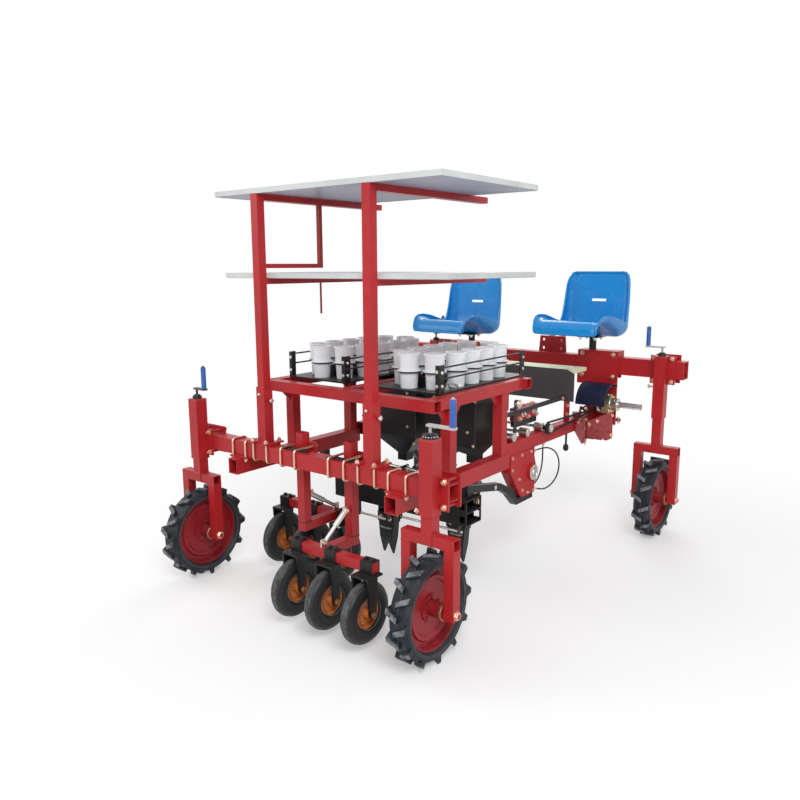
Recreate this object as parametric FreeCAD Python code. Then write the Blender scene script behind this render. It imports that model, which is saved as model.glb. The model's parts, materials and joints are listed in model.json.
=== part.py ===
import FreeCAD, Part
import math
import os

# Vegetable transplanter for two rows, carried on a tractor's three-point linkage.
# Millimetres. +X is the machine's right, +Y its direction of travel, +Z up.
# The origin is on the ground, under the middle of the machine.

V = FreeCAD.Vector

# ---- driving dimensions ----------------------------------------------------
wheelbase = 1920.0         # rear axles to front axles
running_gap = 0.05         # radial clearance of a turning bore
seat_gap = 0.3             # clearance between pieces that rest on each other
turning_gap = 6.0          # side clearance of a wheel in its fork

# ground wheels
wheel_d = 450.0            # over the lugs
tyre_w = 92.0
tyre_shoulder = 14.0
bead_rise = 12.0
lug_h = 17.0
lug_foot_t = 34.0
lug_top_t = 20.0
lug_sweep = 26.0
lug_overlap = 6.0          # how far a lug runs past the middle of the tread
lug_pairs = 12
disc_d = 330.0
disc_t = 6.0
rim_half = 30.0
rim_wall = 5.0
ring_d = 244.0             # middle of the ring pressed into a disc
ring_w = 28.0
ring_h = 9.0
hub_d = 62.0
hub_flange_d = 116.0
hub_flange_t = 6.0
axle_d = 20.0
axle_end = 12.0            # axle beyond the fork
rear_left_x = -750.0
rear_right_x = 662.0
front_left_x = -685.0
front_right_x = 855.0

# wheel legs
sleeve = 62.0
sleeve_wall = 5.0
fork_tube = 45.0
fork_wall = 3.0
fork_w = 250.0
fork_top_z = 528.0
rear_sleeve_low_z = 600.0
rear_sleeve_top_z = 892.0
front_sleeve_low_z = 686.0
front_sleeve_top_z = 1027.0
post_drop = 60.0           # post's top below its sleeve's
clamp_ear = 38.0
clamp_t = 10.0
clamp_over = 30.0          # clamp plates above and below their toolbar
clamp_bolt_d = 12.0
clamp_bolt_end = 14.0
jack_screw_d = 22.0
jack_screw_len = 50.0
jack_cap_t = 8.0
jack_ring_d = 44.0
jack_ring_h = 14.0
crank_d = 12.0
crank_rise = 62.0
crank_arm_t = 9.0
crank_arm_w = 24.0
grip_d = 24.0
grip_len = 104.0
grip_end = 6.0

# press wheels
press_d = 260.0
press_w = 64.0
press_rim_d = 128.0
press_rim_t = 6.0
press_rim_wall = 4.0
press_hub_d = 40.0
press_axle_d = 14.0
press_axle_end = 10.0
press_pitch = 200.0
press_axle_z = 160.0
press_bar_z = 345.0
press_bar = 42.0
press_post = 44.0
press_post_wall = 4.0
press_post_x = 148.0
press_post_top = 790.0
press_clamp_w = 60.0
press_clamp_wall = 5.0
press_leg_t = 8.0
press_leg_top = 60.0
press_leg_foot = 40.0
rear_gang_x = 203.0
front_gang_x = -290.0
rear_bar_reach = 55.0      # rear press bar behind the rear axle line
front_bar_reach = 335.0    # front press bar ahead of the rear axle line
press_trail = 35.0         # axle behind its bar
strut_d = 16.0
strut_sleeve_d = 24.0
strut_top_z = 490.0
strut_lug_t = 8.0
strut_lug = 34.0

# rear toolbar and chassis
toolbar = 70.0
toolbar_wall = 5.0
toolbar_z = 683.0
toolbar_left_x = -815.0
toolbar_right_x = 726.0
beam_w = 60.0
beam_h = 72.0
beam_wall = 4.0
beam_x = 480.0
beam_tail = 48.0           # beam's open end behind the toolbar
beam_front = 860.0         # beam's front end ahead of the axle line
beam_pad_w = 112.0
beam_pad_t = 8.0
beam_pad_over = 18.0

# front toolbar
front_bar_w = 80.0
front_bar_h = 100.0
front_bar_wall = 6.0
front_bar_z = 955.0
front_bar_left_x = -992.0
front_bar_right_x = 968.0

# cup table
table_top_z = 990.0
table_tube = 50.0
table_wall = 3.0
table_half = 525.0
table_rear = 240.0         # middle of its rear tube, ahead of the axle line
table_front = 1010.0
table_leg_rear = 385.0
table_leg_front = 815.0
table_gusset = 70.0
table_gusset_t = 8.0

# shelf rack
rack_left_x = -332.0
rack_right_x = 318.0
rack_post = 42.0
rack_sleeve = 52.0
rack_sleeve_top = 990.0
rack_foot_w = 120.0
rack_foot_t = 8.0
rack_pin_d = 12.0
rack_pin_len = 96.0
rack_pin_z = 928.0
rack_top_z = 1850.0
rack_mid_z = 1484.0
rack_arm_h = 28.0
rack_arm_len = 836.0
rack_stay = 20.0
rack_stay_reach = 365.0    # upright of the left side stay ahead of its post
rack_stay_z = 1537.0
rack_hook_d = 10.0
rack_hook_len = 150.0
shelf_left_x = -597.0
shelf_right_x = 678.0
shelf_t = 22.0
shelf_depth = 715.0

# seats
seat_x = 426.0
seat_depth = 460.0         # lip to the face of the back
seat_lip_back = 412.0      # lip behind the middle of the front toolbar
seat_left_z = 1098.0       # underside over the column
seat_right_z = 1126.0
seat_shell = 9.0
seat_bend = 62.0           # width of the bend from a seat's floor to its side
seat_slot_w = 90.0
seat_slot_h = 15.0
seat_slot_up = 205.0
column_d = 42.0
column_back = 26.0         # column behind the middle of the front toolbar
column_plate_w = 130.0
column_plate_t = 8.0
saddle_x = 470.0
saddle_w = 250.0
saddle_t = 10.0
saddle_low_z = 838.0
saddle_over = 25.0         # saddle's top plate over its toolbar
saddle_strap_w = 32.0
saddle_strap_in = 30.0     # straps inboard of the saddle's ends
drop_inner = 46.0          # drop plate inboard of its rail's middle

# cup loops
loop_x = 270.0             # middle of a cup loop from the centre line
loop_half_w = 125.0        # cup centres either side of the loop's middle
loop_straight_len = 360.0
loop_middle = 712.0        # middle of the loops ahead of the axle line
cups_a_loop = 12
cup_rim_d = 98.0
cup_top_d = 92.0
cup_step_d = 86.0
cup_flange_d = 106.0
cup_flange_t = 4.0
cup_waist_d = 84.0
cup_foot_d = 76.0
cup_wall = 3.0
cup_h = 155.0
cup_lip_h = 8.0
cup_waist_h = 76.0
tray_t = 8.0
tray_margin = 62.0
track_half_w = 66.0        # chain track inside a loop of cups
track_h = 46.0
track_wall = 4.0
loop_rail_d = 8.0
loop_rail_low = 60.0
loop_rail_top = 108.0
loop_upright = 40.0
loop_upright_t = 5.0
loop_upright_h = 120.0
loop_rail_in = 3.0

# seedling hoppers
hopper_w = 300.0
hopper_depth = 205.0
hopper_wall = 4.0
hopper_left_x = -185.0
hopper_right_x = 180.0
hopper_out_w = 60.0
hopper_out_h = 40.0
hopper_out_back = 25.0     # outlet's rear wall ahead of the hopper's
hopper_out_left_x = -145.0
hopper_out_right_x = 296.0
hopper_left_z = 505.0
hopper_right_z = 560.0
hopper_bend_z = 640.0

# planting units
row_left_x = -145.0
row_right_x = 300.0
left_tip_z = 20.0
bill_len = 175.0
bill_w = 104.0
bill_t = 46.0
bill_wall = 4.0
bill_slit = 2.0
bill_fork_h = 90.0         # where a bill's two jaws part, above their tips
bill_fork_w = 88.0
bill_tip_w = 8.0
bill_tip_apart = 62.0
collar_h = 52.0
collar_rim = 4.0           # collar beyond the jaws all round
cheek_t = 6.0
cheek_w = 44.0
link_pin_d = 14.0
link_t = 8.0
link_w = 30.0
link_drop = 90.0           # upper to lower pins
crank_throw = 68.0
crank_angle = 28.0         # cranks below or above level, rearwards
crank_shaft_d = 22.0
crank_ahead = 130.0        # crank shaft ahead of the planter bar's front face
crank_z = 479.0
planter_reach = 604.0      # planter bar's middle ahead of the axle line
planter_left_x = -345.0
planter_right_x = 474.0
planter_w = 128.0
planter_h = 124.0
planter_wall = 5.0
planter_low_z = 351.0
planter_web_t = 5.0
planter_window = 32.0
planter_window_in = 8.0
planter_end_t = 8.0
unit_plate_t = 8.0
unit_nose = 22.0           # unit plate ahead of its crank shaft
strap_w = 40.0
strap_h = 30.0
stop_rod_d = 12.0
stop_rod_left_z = 284.0
stop_rod_right_z = 318.0
stop_rod_in = 12.0         # rod ahead of the planter bar's rear face
stop_lug_t = 6.0
stop_lug_w = 24.0
stop_left_start = -205.0
stop_left_end = 15.0
stop_right_start = 65.0
stop_right_end = 445.0
stop_lug_in = 16.0

# drive side
rail_x = 450.0
rail_w = 50.0
rail_h = 68.0
rail_wall = 4.0
rail_z = 640.0
case_w = 56.0
case_ahead = 72.0          # case's rear corner ahead of the beam's front end
case_len = 243.0
case_waist = 25.0
case_drop = 240.0          # case's foot below its rail
case_heel = 95.0
case_boss_d = 86.0
case_boss_out = 14.0
case_boss_drop = 125.0
feed_arm_w = 36.0
feed_arm_t = 32.0
feed_lug_t = 8.0
feed_lug_w = 40.0
feed_arm_end = 44.0        # arm's rear end behind the middle of the planter bar
shaft_d = 35.0
shaft_z = 745.0
shaft_behind = 90.0        # shaft behind the front toolbar's rear face
shaft_inner_x = 560.0
shaft_end_x = 775.0
shaft_stub = 60.0          # shaft inboard of its bearing
shaft_hub_d = 72.0
shaft_hub_len = 34.0
gear_d = 100.0
gear_t = 14.0
gear_in = 16.0
bearing_d = 96.0
bearing_len = 40.0
bearing_flange_t = 20.0
side_plate_t = 8.0
side_plate_back = 326.0    # side plate's rear end behind the shaft
side_plate_front = 34.0
side_plate_h = 160.0
side_notch_d = 60.0
guard_r = 118.0
guard_t = 4.0
guard_in_x = 430.0
guard_out_x = 606.0
guard_turn = 125.0         # degrees that the guard covers
guard_start = 55.0         # from straight ahead, upwards
screen_behind = 392.0      # screen behind the front toolbar's rear face
screen_t = 4.0
screen_low_z = 790.0
screen_top_z = 968.0
screen_half = 505.0
screen_corner = 44.0
board_len = 150.0
board_t = 20.0
stay_t = 8.0
stay_len = 60.0
roller_d = 44.0
roller_len = 46.0
roller_shaft_d = 18.0
cross_rear = 243.0         # rear cross shaft ahead of the beam's front end
cross_front = 404.0
stub_pitch = 138.0
rail_plate_t = 8.0
rail_plate_len = 150.0
rail_plate_drop = 92.0
rail_plate_setback = 141.0
cable_d = 8.0
gland_d = 16.0
gland_len = 22.0
gland_root = 8.0           # how far a slanted gland runs into the case
outer_hose_x = 464.0
inner_hose_x = 440.0

# hitch
mast_x = 130.0
mast_top_z = 1100.0
mast_gap = 62.0
mast_cheek_t = 12.0
mast_foot = 70.0
mast_tip_back = 22.0
mast_tip_front = 95.0
mast_plate_t = 10.0
mast_plate_low_w = 200.0
mast_plate_top_w = 170.0
mast_hole_d = 18.0
mast_hole_pitch = 52.0
mast_hole_rows = 3
mast_hole_in = 24.0
link_bore_d = 19.3
link_bore_down = 35.0
link_bore_front = 62.0
hitch_spread = 718.0
hitch_lug_t = 16.0
hitch_lug_len = 85.0
hitch_lug_low = 40.0
hitch_pin_d = 22.0
hitch_pin_len = 75.0
hitch_pin_front = 45.0
hitch_mast_h = 455.0       # lower pins below the top link's bore

# ---- places worked out from them -------------------------------------------
wheel_r = wheel_d / 2
rim_r = disc_d / 2
rear_y = -wheelbase / 2
front_y = wheelbase / 2
rear_bar_y = rear_y + sleeve / 2 + seat_gap + toolbar / 2
front_bar_y = front_y + sleeve / 2 + seat_gap + front_bar_w / 2
toolbar_top = toolbar_z + toolbar / 2
toolbar_bottom = toolbar_z - toolbar / 2
beam_top = toolbar_bottom - seat_gap - beam_pad_t
beam_bottom = beam_top - beam_h
beam_z = beam_top - beam_h / 2
beam_rear_y = rear_bar_y - toolbar / 2 - beam_tail
beam_front_y = rear_y + beam_front
fork_post = sleeve - 2 * (sleeve_wall + seat_gap)
front_bar_top = front_bar_z + front_bar_h / 2
front_bar_bottom = front_bar_z - front_bar_h / 2
front_bar_rear = front_bar_y - front_bar_w / 2
front_bar_face = front_bar_y + front_bar_w / 2
table_z = table_top_z - table_tube / 2
table_bottom = table_top_z - table_tube
rail_top = rail_z + rail_h / 2
rail_bottom = rail_z - rail_h / 2
saddle_top_z = front_bar_top + saddle_over + saddle_t
saddle_rear_y = front_bar_rear - seat_gap - saddle_t
seat_lip_y = front_bar_y - seat_lip_back
hopper_front_y = rear_y + table_front + table_tube / 2
hopper_rear_y = hopper_front_y - hopper_depth
planter_y = rear_y + planter_reach
planter_rear_y = planter_y - planter_w / 2
planter_front_y = planter_y + planter_w / 2
planter_top_z = planter_low_z + planter_h
crank_y = planter_front_y + crank_ahead
crank_back = crank_throw * math.cos(math.radians(crank_angle))
crank_rise_z = crank_throw * math.sin(math.radians(crank_angle))
bill_y = crank_y - crank_back
right_tip_z = left_tip_z + 2 * crank_rise_z
shaft_y = front_bar_rear - shaft_behind
screen_y = front_bar_rear - screen_behind
mast_y = front_bar_face + seat_gap
link_bore_z = mast_top_z - link_bore_down
hitch_pin_z = link_bore_z - hitch_mast_h

os.makedirs("parts", exist_ok=True)


# ---- small builders --------------------------------------------------------
def block(x, y, z):
    """A box from three (low, high) spans."""
    return Part.makeBox(x[1] - x[0], y[1] - y[0], z[1] - z[0], V(x[0], y[0], z[0]))


def span(middle, size):
    """The (low, high) pair of a size about its middle."""
    return (middle - size / 2, middle + size / 2)


def reach(start, size):
    """The (low, high) pair of a signed size from its start."""
    return (min(start, start + size), max(start, start + size))


def rod(start, end, diameter):
    """A round bar between two points."""
    a = V(*start)
    run = V(*end) - a
    return Part.makeCylinder(diameter / 2, run.Length, a, run)


def cross_rod(x, y, z, diameter):
    """A round bar along X, from its span, its place and its diameter."""
    return rod((x[0], y, z), (x[1], y, z), diameter)


def tube(x, y, z, wall, along):
    """A rectangular tube from its spans, open at both ends of the named axis."""
    inner = [(low + wall, high - wall) for low, high in (x, y, z)]
    axis = "xyz".index(along)
    low, high = (x, y, z)[axis]
    inner[axis] = (low - 1, high + 1)
    return block(x, y, z).cut(block(*inner))


def fuse(solids):
    """One solid of several that meet."""
    shape = solids[0].multiFuse(solids[1:]) if len(solids) > 1 else solids[0]
    return shape.removeSplitter()


def turned(profile, centre):
    """A solid of revolution about an axis along X; its profile is (x, radius) pairs."""
    points = [V(centre[0] + x, centre[1], centre[2] + r) for x, r in profile]
    face = Part.Face(Part.makePolygon(points + [points[0]]))
    return face.revolve(V(*centre), V(1, 0, 0), 360)


def plate(points, thickness):
    """A flat plate: its corner points, and the vector of its thickness."""
    corners = [V(*p) for p in points]
    return Part.Face(Part.makePolygon(corners + [corners[0]])).extrude(V(*thickness))


def side_plate(x, points):
    """A plate across X, from its span and its (y, z) corners."""
    return plate([(x[0], y, z) for y, z in points], (x[1] - x[0], 0, 0))


def front_plate(y, points):
    """A plate across Y, from its span and its (x, z) corners."""
    return plate([(x, y[0], z) for x, z in points], (0, y[1] - y[0], 0))


def lofted(*outlines):
    """A ruled solid through closed outlines of as many points each."""
    wires = [Part.makePolygon([V(*p) for p in outline] + [V(*outline[0])]) for outline in outlines]
    return Part.makeLoft(wires, True, True)


def level_outline(x, y, z):
    """The corners of a level rectangle from its spans."""
    return [(x[0], y[0], z), (x[1], y[0], z), (x[1], y[1], z), (x[0], y[1], z)]


def save(name, solids):
    """Writes one node, of one solid or of several that stand apart."""
    shape = solids[0] if len(solids) == 1 else Part.makeCompound(solids)
    shape.exportStep("parts/%s.step" % name)


# ---- ground wheels ---------------------------------------------------------
ground_wheels = {"rear_left": (rear_left_x, rear_y), "rear_right": (rear_right_x, rear_y),
                 "front_left": (front_left_x, front_y), "front_right": (front_right_x, front_y)}
hub_half = fork_w / 2 - fork_tube - turning_gap


def lug_outline(centre, side, z, thick):
    """A tyre lug's section at one height."""
    x, y = centre[0], centre[1]
    inner, outer = x - side * lug_overlap, x + side * tyre_w / 2
    low, high = y - thick / 2, y + thick / 2
    return [(inner, low, z), (outer, low + lug_sweep, z), (outer, high + lug_sweep, z), (inner, high, z)]


def ground_tyre(x, y):
    """A farm tyre with two rows of slanted, tapered lugs."""
    centre = (x, y, wheel_r)
    half = tyre_w / 2
    tread_r = wheel_r - lug_h
    bead = rim_r + bead_rise
    profile = [(-rim_half, rim_r), (-half, bead), (-half, tread_r - tyre_shoulder),
               (-half + tyre_shoulder, tread_r), (half - tyre_shoulder, tread_r),
               (half, tread_r - tyre_shoulder), (half, bead), (rim_half, rim_r)]
    solids = [turned(profile, centre)]
    root_z = wheel_r + tread_r - 2 * tyre_shoulder
    for side in (-1, 1):
        bar = lofted(lug_outline(centre, side, root_z, lug_foot_t),
                     lug_outline(centre, side, 2 * wheel_r + 1, lug_top_t))
        for k in range(lug_pairs):
            lug = bar.copy()
            lug.rotate(V(*centre), V(1, 0, 0), 360.0 / lug_pairs * (k + side / 4))
            solids.append(lug)
    outside = turned([(-half, rim_r - 1), (-half, wheel_r), (half, wheel_r), (half, rim_r - 1)], centre)
    return fuse(solids).common(outside)


def wheel_disc(x, y):
    """A pressed wheel disc with its rim band, its ring, its flange and its bored hub."""
    bore = axle_d / 2 + running_gap
    edge = rim_r - seat_gap
    mid = ring_d / 2
    face = [(disc_t / 2, edge - rim_wall), (disc_t / 2, mid + ring_w / 2),
            (disc_t / 2 + ring_h, mid + ring_w / 4), (disc_t / 2 + ring_h, mid - ring_w / 4),
            (disc_t / 2, mid - ring_w / 2)]
    flange = disc_t / 2 + hub_flange_t
    outer = [(rim_half, edge), (rim_half, edge - rim_wall)] + face
    outer += [(disc_t / 2, hub_flange_d / 2), (flange, hub_flange_d / 2), (flange, hub_d / 2),
              (hub_half, hub_d / 2), (hub_half, bore)]
    inner = [(-hub_half, bore), (-hub_half, hub_d / 2), (-disc_t / 2, hub_d / 2)]
    inner += [(px - disc_t, pr) for px, pr in reversed(face)]
    inner += [(-rim_half, edge - rim_wall), (-rim_half, edge)]
    return turned(outer + inner, (x, y, wheel_r))


for key, (x, y) in ground_wheels.items():
    save("wheel_tyre_" + key, [ground_tyre(x, y)])
    save("wheel_disc_" + key, [wheel_disc(x, y)])


# ---- wheel legs: sleeves, forks, screw jacks --------------------------------
def wheel_fork(x, y, sleeve_top):
    """A post and an inverted U of square tube, with the axle bolt through it."""
    bar_low = fork_top_z - fork_tube
    half = fork_w / 2
    parts = [block(span(x, fork_post), span(y, fork_post), (bar_low + fork_wall, sleeve_top - post_drop)),
             tube(span(x, fork_w), span(y, fork_tube), (bar_low, fork_top_z), fork_wall, "x")]
    for side in (-1, 1):
        leg_x = x + side * (half - fork_tube / 2)
        parts.append(block(span(leg_x, fork_tube), span(y, fork_tube),
                           (wheel_r - fork_tube / 2, bar_low)))
    parts.append(cross_rod(span(x, fork_w + 2 * axle_end), y, wheel_r, axle_d))
    return fuse(parts)


def leg_sleeve(x, y, sleeve_z, bar_w, bar_h, bar_z):
    """A square sleeve with ears, a front plate and four bolts that clamp it to a toolbar."""
    face = y + sleeve / 2
    plate_y = face + 2 * seat_gap + bar_w
    plate_z = span(bar_z, bar_h + 2 * clamp_over)
    parts = [tube(span(x, sleeve), span(y, sleeve), sleeve_z, sleeve_wall, "z"),
             block(span(x, sleeve + 2 * clamp_ear), (plate_y, plate_y + clamp_t), plate_z)]
    for side in (-1, 1):
        parts.append(block(reach(x + side * sleeve / 2, side * clamp_ear), (face - clamp_t, face), plate_z))
        bolt_x = x + side * (sleeve + clamp_ear) / 2
        for level in (-1, 1):
            bolt_z = bar_z + level * (bar_h + clamp_over) / 2
            parts.append(rod((bolt_x, face - clamp_t - clamp_bolt_end, bolt_z),
                             (bolt_x, plate_y + clamp_t + clamp_bolt_end, bolt_z), clamp_bolt_d))
    return fuse(parts)


def jack(x, y, sleeve_top, grip_dx, turn):
    """A screw under a thrust ring on a sleeve's top, with a crank out to its turning grip."""
    top = sleeve_top + seat_gap
    cap_top = top + jack_cap_t
    arm_top = top + crank_rise
    grip_x = x + grip_dx
    arm_x = (min(x, grip_x) - crank_arm_w / 2, max(x, grip_x) + crank_arm_w / 2)
    crank = fuse([block(span(x, sleeve), span(y, sleeve), (top, cap_top)),
                  rod((x, y, cap_top), (x, y, cap_top + jack_ring_h), jack_ring_d),
                  rod((x, y, top - jack_screw_len), (x, y, top), jack_screw_d),
                  rod((x, y, cap_top), (x, y, arm_top - crank_arm_t), crank_d),
                  block(arm_x, span(y, crank_arm_w), (arm_top - crank_arm_t, arm_top)),
                  rod((grip_x, y, arm_top), (grip_x, y, arm_top + grip_len + grip_end), crank_d)])
    grip = rod((grip_x, y, arm_top + seat_gap), (grip_x, y, arm_top + grip_len), grip_d)
    bore = rod((grip_x, y, arm_top), (grip_x, y, arm_top + grip_len + 1), crank_d + 2 * seat_gap)
    grip = grip.cut(bore)
    for shape in (crank, grip):
        shape.rotate(V(x, y, 0), V(0, 0, 1), turn)
    return crank, grip


# How far each grip is from its screw, and how far its crank is turned from across the machine.
crank_place = {"rear_left": (58.0, 0), "rear_right": (102.0, 0), "front_left": (80.0, 90), "front_right": (-80.0, 0)}
forks = []
sleeves = []
cranks = []
grips = []
for key, (x, y) in ground_wheels.items():
    if key.startswith("rear"):
        sleeve_z = (rear_sleeve_low_z, rear_sleeve_top_z)
        bar = (toolbar, toolbar, toolbar_z)
    else:
        sleeve_z = (front_sleeve_low_z, front_sleeve_top_z)
        bar = (front_bar_w, front_bar_h, front_bar_z)
    forks.append(wheel_fork(x, y, sleeve_z[1]))
    sleeves.append(leg_sleeve(x, y, sleeve_z, *bar))
    crank, grip = jack(x, y, sleeve_z[1], *crank_place[key])
    cranks.append(crank)
    grips.append(grip)
save("wheel_forks", forks)
save("leg_sleeves", sleeves)
save("jack_cranks", cranks)
save("crank_grips", grips)

# ---- toolbars and chassis beams ----------------------------------------------
save("rear_toolbar", [tube((toolbar_left_x, toolbar_right_x), span(rear_bar_y, toolbar),
                           span(toolbar_z, toolbar), toolbar_wall, "x")])
save("front_toolbar", [tube((front_bar_left_x, front_bar_right_x), span(front_bar_y, front_bar_w),
                            span(front_bar_z, front_bar_h), front_bar_wall, "x")])
for name, side in (("left", -1), ("right", 1)):
    beam = tube(span(side * beam_x, beam_w), (beam_rear_y, beam_front_y), (beam_bottom, beam_top),
                beam_wall, "y")
    pad = block(span(side * beam_x, beam_pad_w), span(rear_bar_y, toolbar + 2 * beam_pad_over),
                (beam_top, beam_top + beam_pad_t))
    save("chassis_beam_" + name, [fuse([beam, pad])])

# ---- cup table ---------------------------------------------------------------
table_parts = []
for tube_reach in (table_rear, table_front):
    table_parts.append(block(span(0, 2 * table_half), span(rear_y + tube_reach, table_tube),
                             span(table_z, table_tube)))
for x in (-beam_x, 0, beam_x):
    table_parts.append(block(span(x, table_tube), (rear_y + table_rear, rear_y + table_front),
                             span(table_z, table_tube)))
for side in (-1, 1):
    for leg_reach in (table_leg_rear, table_leg_front):
        leg_y = rear_y + leg_reach
        table_parts.append(block(span(side * beam_x, table_tube), span(leg_y, table_tube),
                                 (beam_top + seat_gap, table_z)))
        for way in (-1, 1):
            edge = leg_y + way * table_tube / 2
            table_parts.append(side_plate(span(side * beam_x, table_gusset_t), [
                (edge, table_bottom), (edge + way * table_gusset, table_bottom),
                (edge, table_bottom - table_gusset)]))
table = fuse(table_parts)
table_bore = table_tube - 2 * table_wall
for tube_reach in (table_rear, table_front):
    table = table.cut(block(span(0, 2 * table_half + 2), span(rear_y + tube_reach, table_bore),
                            span(table_z, table_bore)))
save("table_frame", [table])

# ---- shelf rack --------------------------------------------------------------
rack_y = rear_bar_y
shelf_rear_y = rack_y - rack_post / 2
rack_front_y = rack_y + rack_post / 2
shelf_front_y = shelf_rear_y + shelf_depth
for name, x in (("left", rack_left_x), ("right", rack_right_x)):
    foot_top = toolbar_top + seat_gap + rack_foot_t
    parts = [block(span(x, rack_foot_w), span(rack_y, toolbar), (toolbar_top + seat_gap, foot_top)),
             block(span(x, rack_sleeve), span(rack_y, rack_sleeve), (foot_top, rack_sleeve_top)),
             block(span(x, rack_post), span(rack_y, rack_post), (rack_sleeve_top, rack_top_z)),
             cross_rod(span(x, rack_pin_len), rack_y, rack_pin_z, rack_pin_d)]
    for z in (rack_mid_z, rack_top_z):
        parts.append(block(span(x, rack_post), (rack_y, rack_y + rack_arm_len), (z - rack_arm_h, z)))
    if name == "left":
        stay_y = rack_front_y + rack_stay_reach
        parts.append(block(span(x, rack_stay), (rack_front_y, stay_y), span(rack_stay_z, rack_stay)))
        parts.append(block(span(x, rack_stay), span(stay_y, rack_stay),
                           (rack_stay_z - rack_stay / 2, rack_top_z - rack_arm_h)))
        hook_z = rack_mid_z - rack_arm_h
        parts.append(rod((x, stay_y, hook_z), (x, stay_y, hook_z - rack_hook_len), rack_hook_d))
    save("rack_post_" + name, [fuse(parts)])
save("shelf_top", [block((shelf_left_x, shelf_right_x), (shelf_rear_y, shelf_front_y),
                         (rack_top_z + seat_gap, rack_top_z + seat_gap + shelf_t))])
save("shelf_middle", [block((shelf_left_x, shelf_right_x), (rack_front_y + seat_gap, shelf_front_y),
                            (rack_mid_z + seat_gap, rack_mid_z + seat_gap + shelf_t))])


# ---- seats -------------------------------------------------------------------
def seat_section(x, place, lean, half_w, side_h):
    """A thin U across the seat: its floor at a (y, z) place, its sides turned up."""
    turn = math.radians(lean)
    up = V(0, -math.sin(turn), math.cos(turn))
    base = V(x, place[0], place[1])
    curve = 1 - math.cos(math.radians(45))

    def corner(side, inset):
        """The foot, middle and top of one side's bend, at an inset from the outside."""
        low, wide = half_w - seat_bend, half_w - inset
        middle = base + V(side * (wide - (wide - low) * curve), 0, 0) + up * (inset + (side_h - inset) * curve)
        return base + V(side * low, 0, 0) + up * inset, middle, base + V(side * wide, 0, 0) + up * side_h

    right, left = corner(1, 0), corner(-1, 0)
    right_in, left_in = corner(1, seat_shell), corner(-1, seat_shell)
    edges = [Part.LineSegment(left[0], right[0]), Part.Arc(right[0], right[1], right[2]),
             Part.LineSegment(right[2], right_in[2]), Part.Arc(right_in[2], right_in[1], right_in[0]),
             Part.LineSegment(right_in[0], left_in[0]), Part.Arc(left_in[0], left_in[1], left_in[2]),
             Part.LineSegment(left_in[2], left[2]), Part.Arc(left[2], left[1], left[0])]
    return Part.Wire([edge.toShape() for edge in edges])


# From the lip to the top of the back: ahead, up, lean in degrees, half width, height of the sides.
seat_stations = [(2, 30, 80, 182, 14), (10, 66, 62, 190, 16), (40, 90, 14, 200, 26),
                 (110, 84, -9, 208, 44), (220, 50, -15, 213, 60), (310, 16, -12, 214, 70),
                 (376, 0, 0, 213, 76), (424, 16, 34, 211, 76), (450, 62, 68, 208, 68),
                 (460, 130, 80, 205, 56), (466, 220, 85, 201, 44), (469, 310, 87, 194, 32),
                 (470, 350, 87, 176, 20), (470, 372, 87, 148, 14)]
depth_scale = seat_depth / seat_stations[-1][0]
columns = []
saddles = []
for name, side, pan_z in (("left", -1, seat_left_z), ("right", 1, seat_right_z)):
    x = side * seat_x
    sections = [seat_section(x, (seat_lip_y + ahead * depth_scale, pan_z + up), lean, half_w, side_h)
                for ahead, up, lean, half_w, side_h in seat_stations]
    back_y = seat_lip_y + seat_depth
    slot = block(span(x, seat_slot_w), span(back_y, seat_bend + seat_shell), span(pan_z + seat_slot_up, seat_slot_h))
    save("seat_" + name, [Part.makeLoft(sections, True, False).cut(slot)])
    column_y = front_bar_y - column_back
    plate_y = seat_lip_y + seat_stations[6][0] * depth_scale
    plate_top = pan_z - seat_gap
    columns.append(fuse([rod((x, column_y, saddle_top_z + seat_gap), (x, column_y, plate_top - column_plate_t / 2),
                             column_d),
                         block(span(x, column_plate_w), span(plate_y, column_plate_w),
                               (plate_top - column_plate_t, plate_top))]))
    middle = side * saddle_x
    outer_end = middle + side * saddle_w / 2
    ends = span(middle, saddle_w)
    drop_start = side * (rail_x - drop_inner)
    strap_y = front_bar_face + seat_gap
    parts = [block(ends, (saddle_rear_y, saddle_rear_y + saddle_t), (saddle_low_z, saddle_top_z)),
             block(ends, (saddle_rear_y, strap_y), (saddle_top_z - saddle_t, saddle_top_z)),
             block(reach(drop_start, outer_end - drop_start), (saddle_rear_y, saddle_rear_y + saddle_t),
                   (rail_bottom, saddle_low_z))]
    strap_z = span(front_bar_z, front_bar_h + 2 * clamp_over)
    for way in (-1, 1):
        strap_x = middle + way * (saddle_w / 2 - saddle_strap_in)
        parts.append(block(span(strap_x, saddle_strap_w), (strap_y, strap_y + saddle_t),
                           (strap_z[0], saddle_top_z)))
        parts.append(block(reach(middle + way * saddle_w / 2, -way * saddle_t), (saddle_rear_y, strap_y),
                           (front_bar_top + seat_gap, saddle_top_z)))
        for level in (-1, 1):
            bolt_z = front_bar_z + level * (front_bar_h + clamp_over) / 2
            parts.append(rod((strap_x, saddle_rear_y - clamp_bolt_end, bolt_z),
                             (strap_x, strap_y + saddle_t + clamp_bolt_end, bolt_z), clamp_bolt_d))
    saddles.append(fuse(parts))
save("seat_columns", columns)
save("seat_hangers", saddles)

# ---- press gangs -------------------------------------------------------------
post_y = rear_bar_y + toolbar / 2 + seat_gap + press_post / 2
crown_z = press_bar_z - press_bar / 2 - seat_gap - press_clamp_wall


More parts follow.
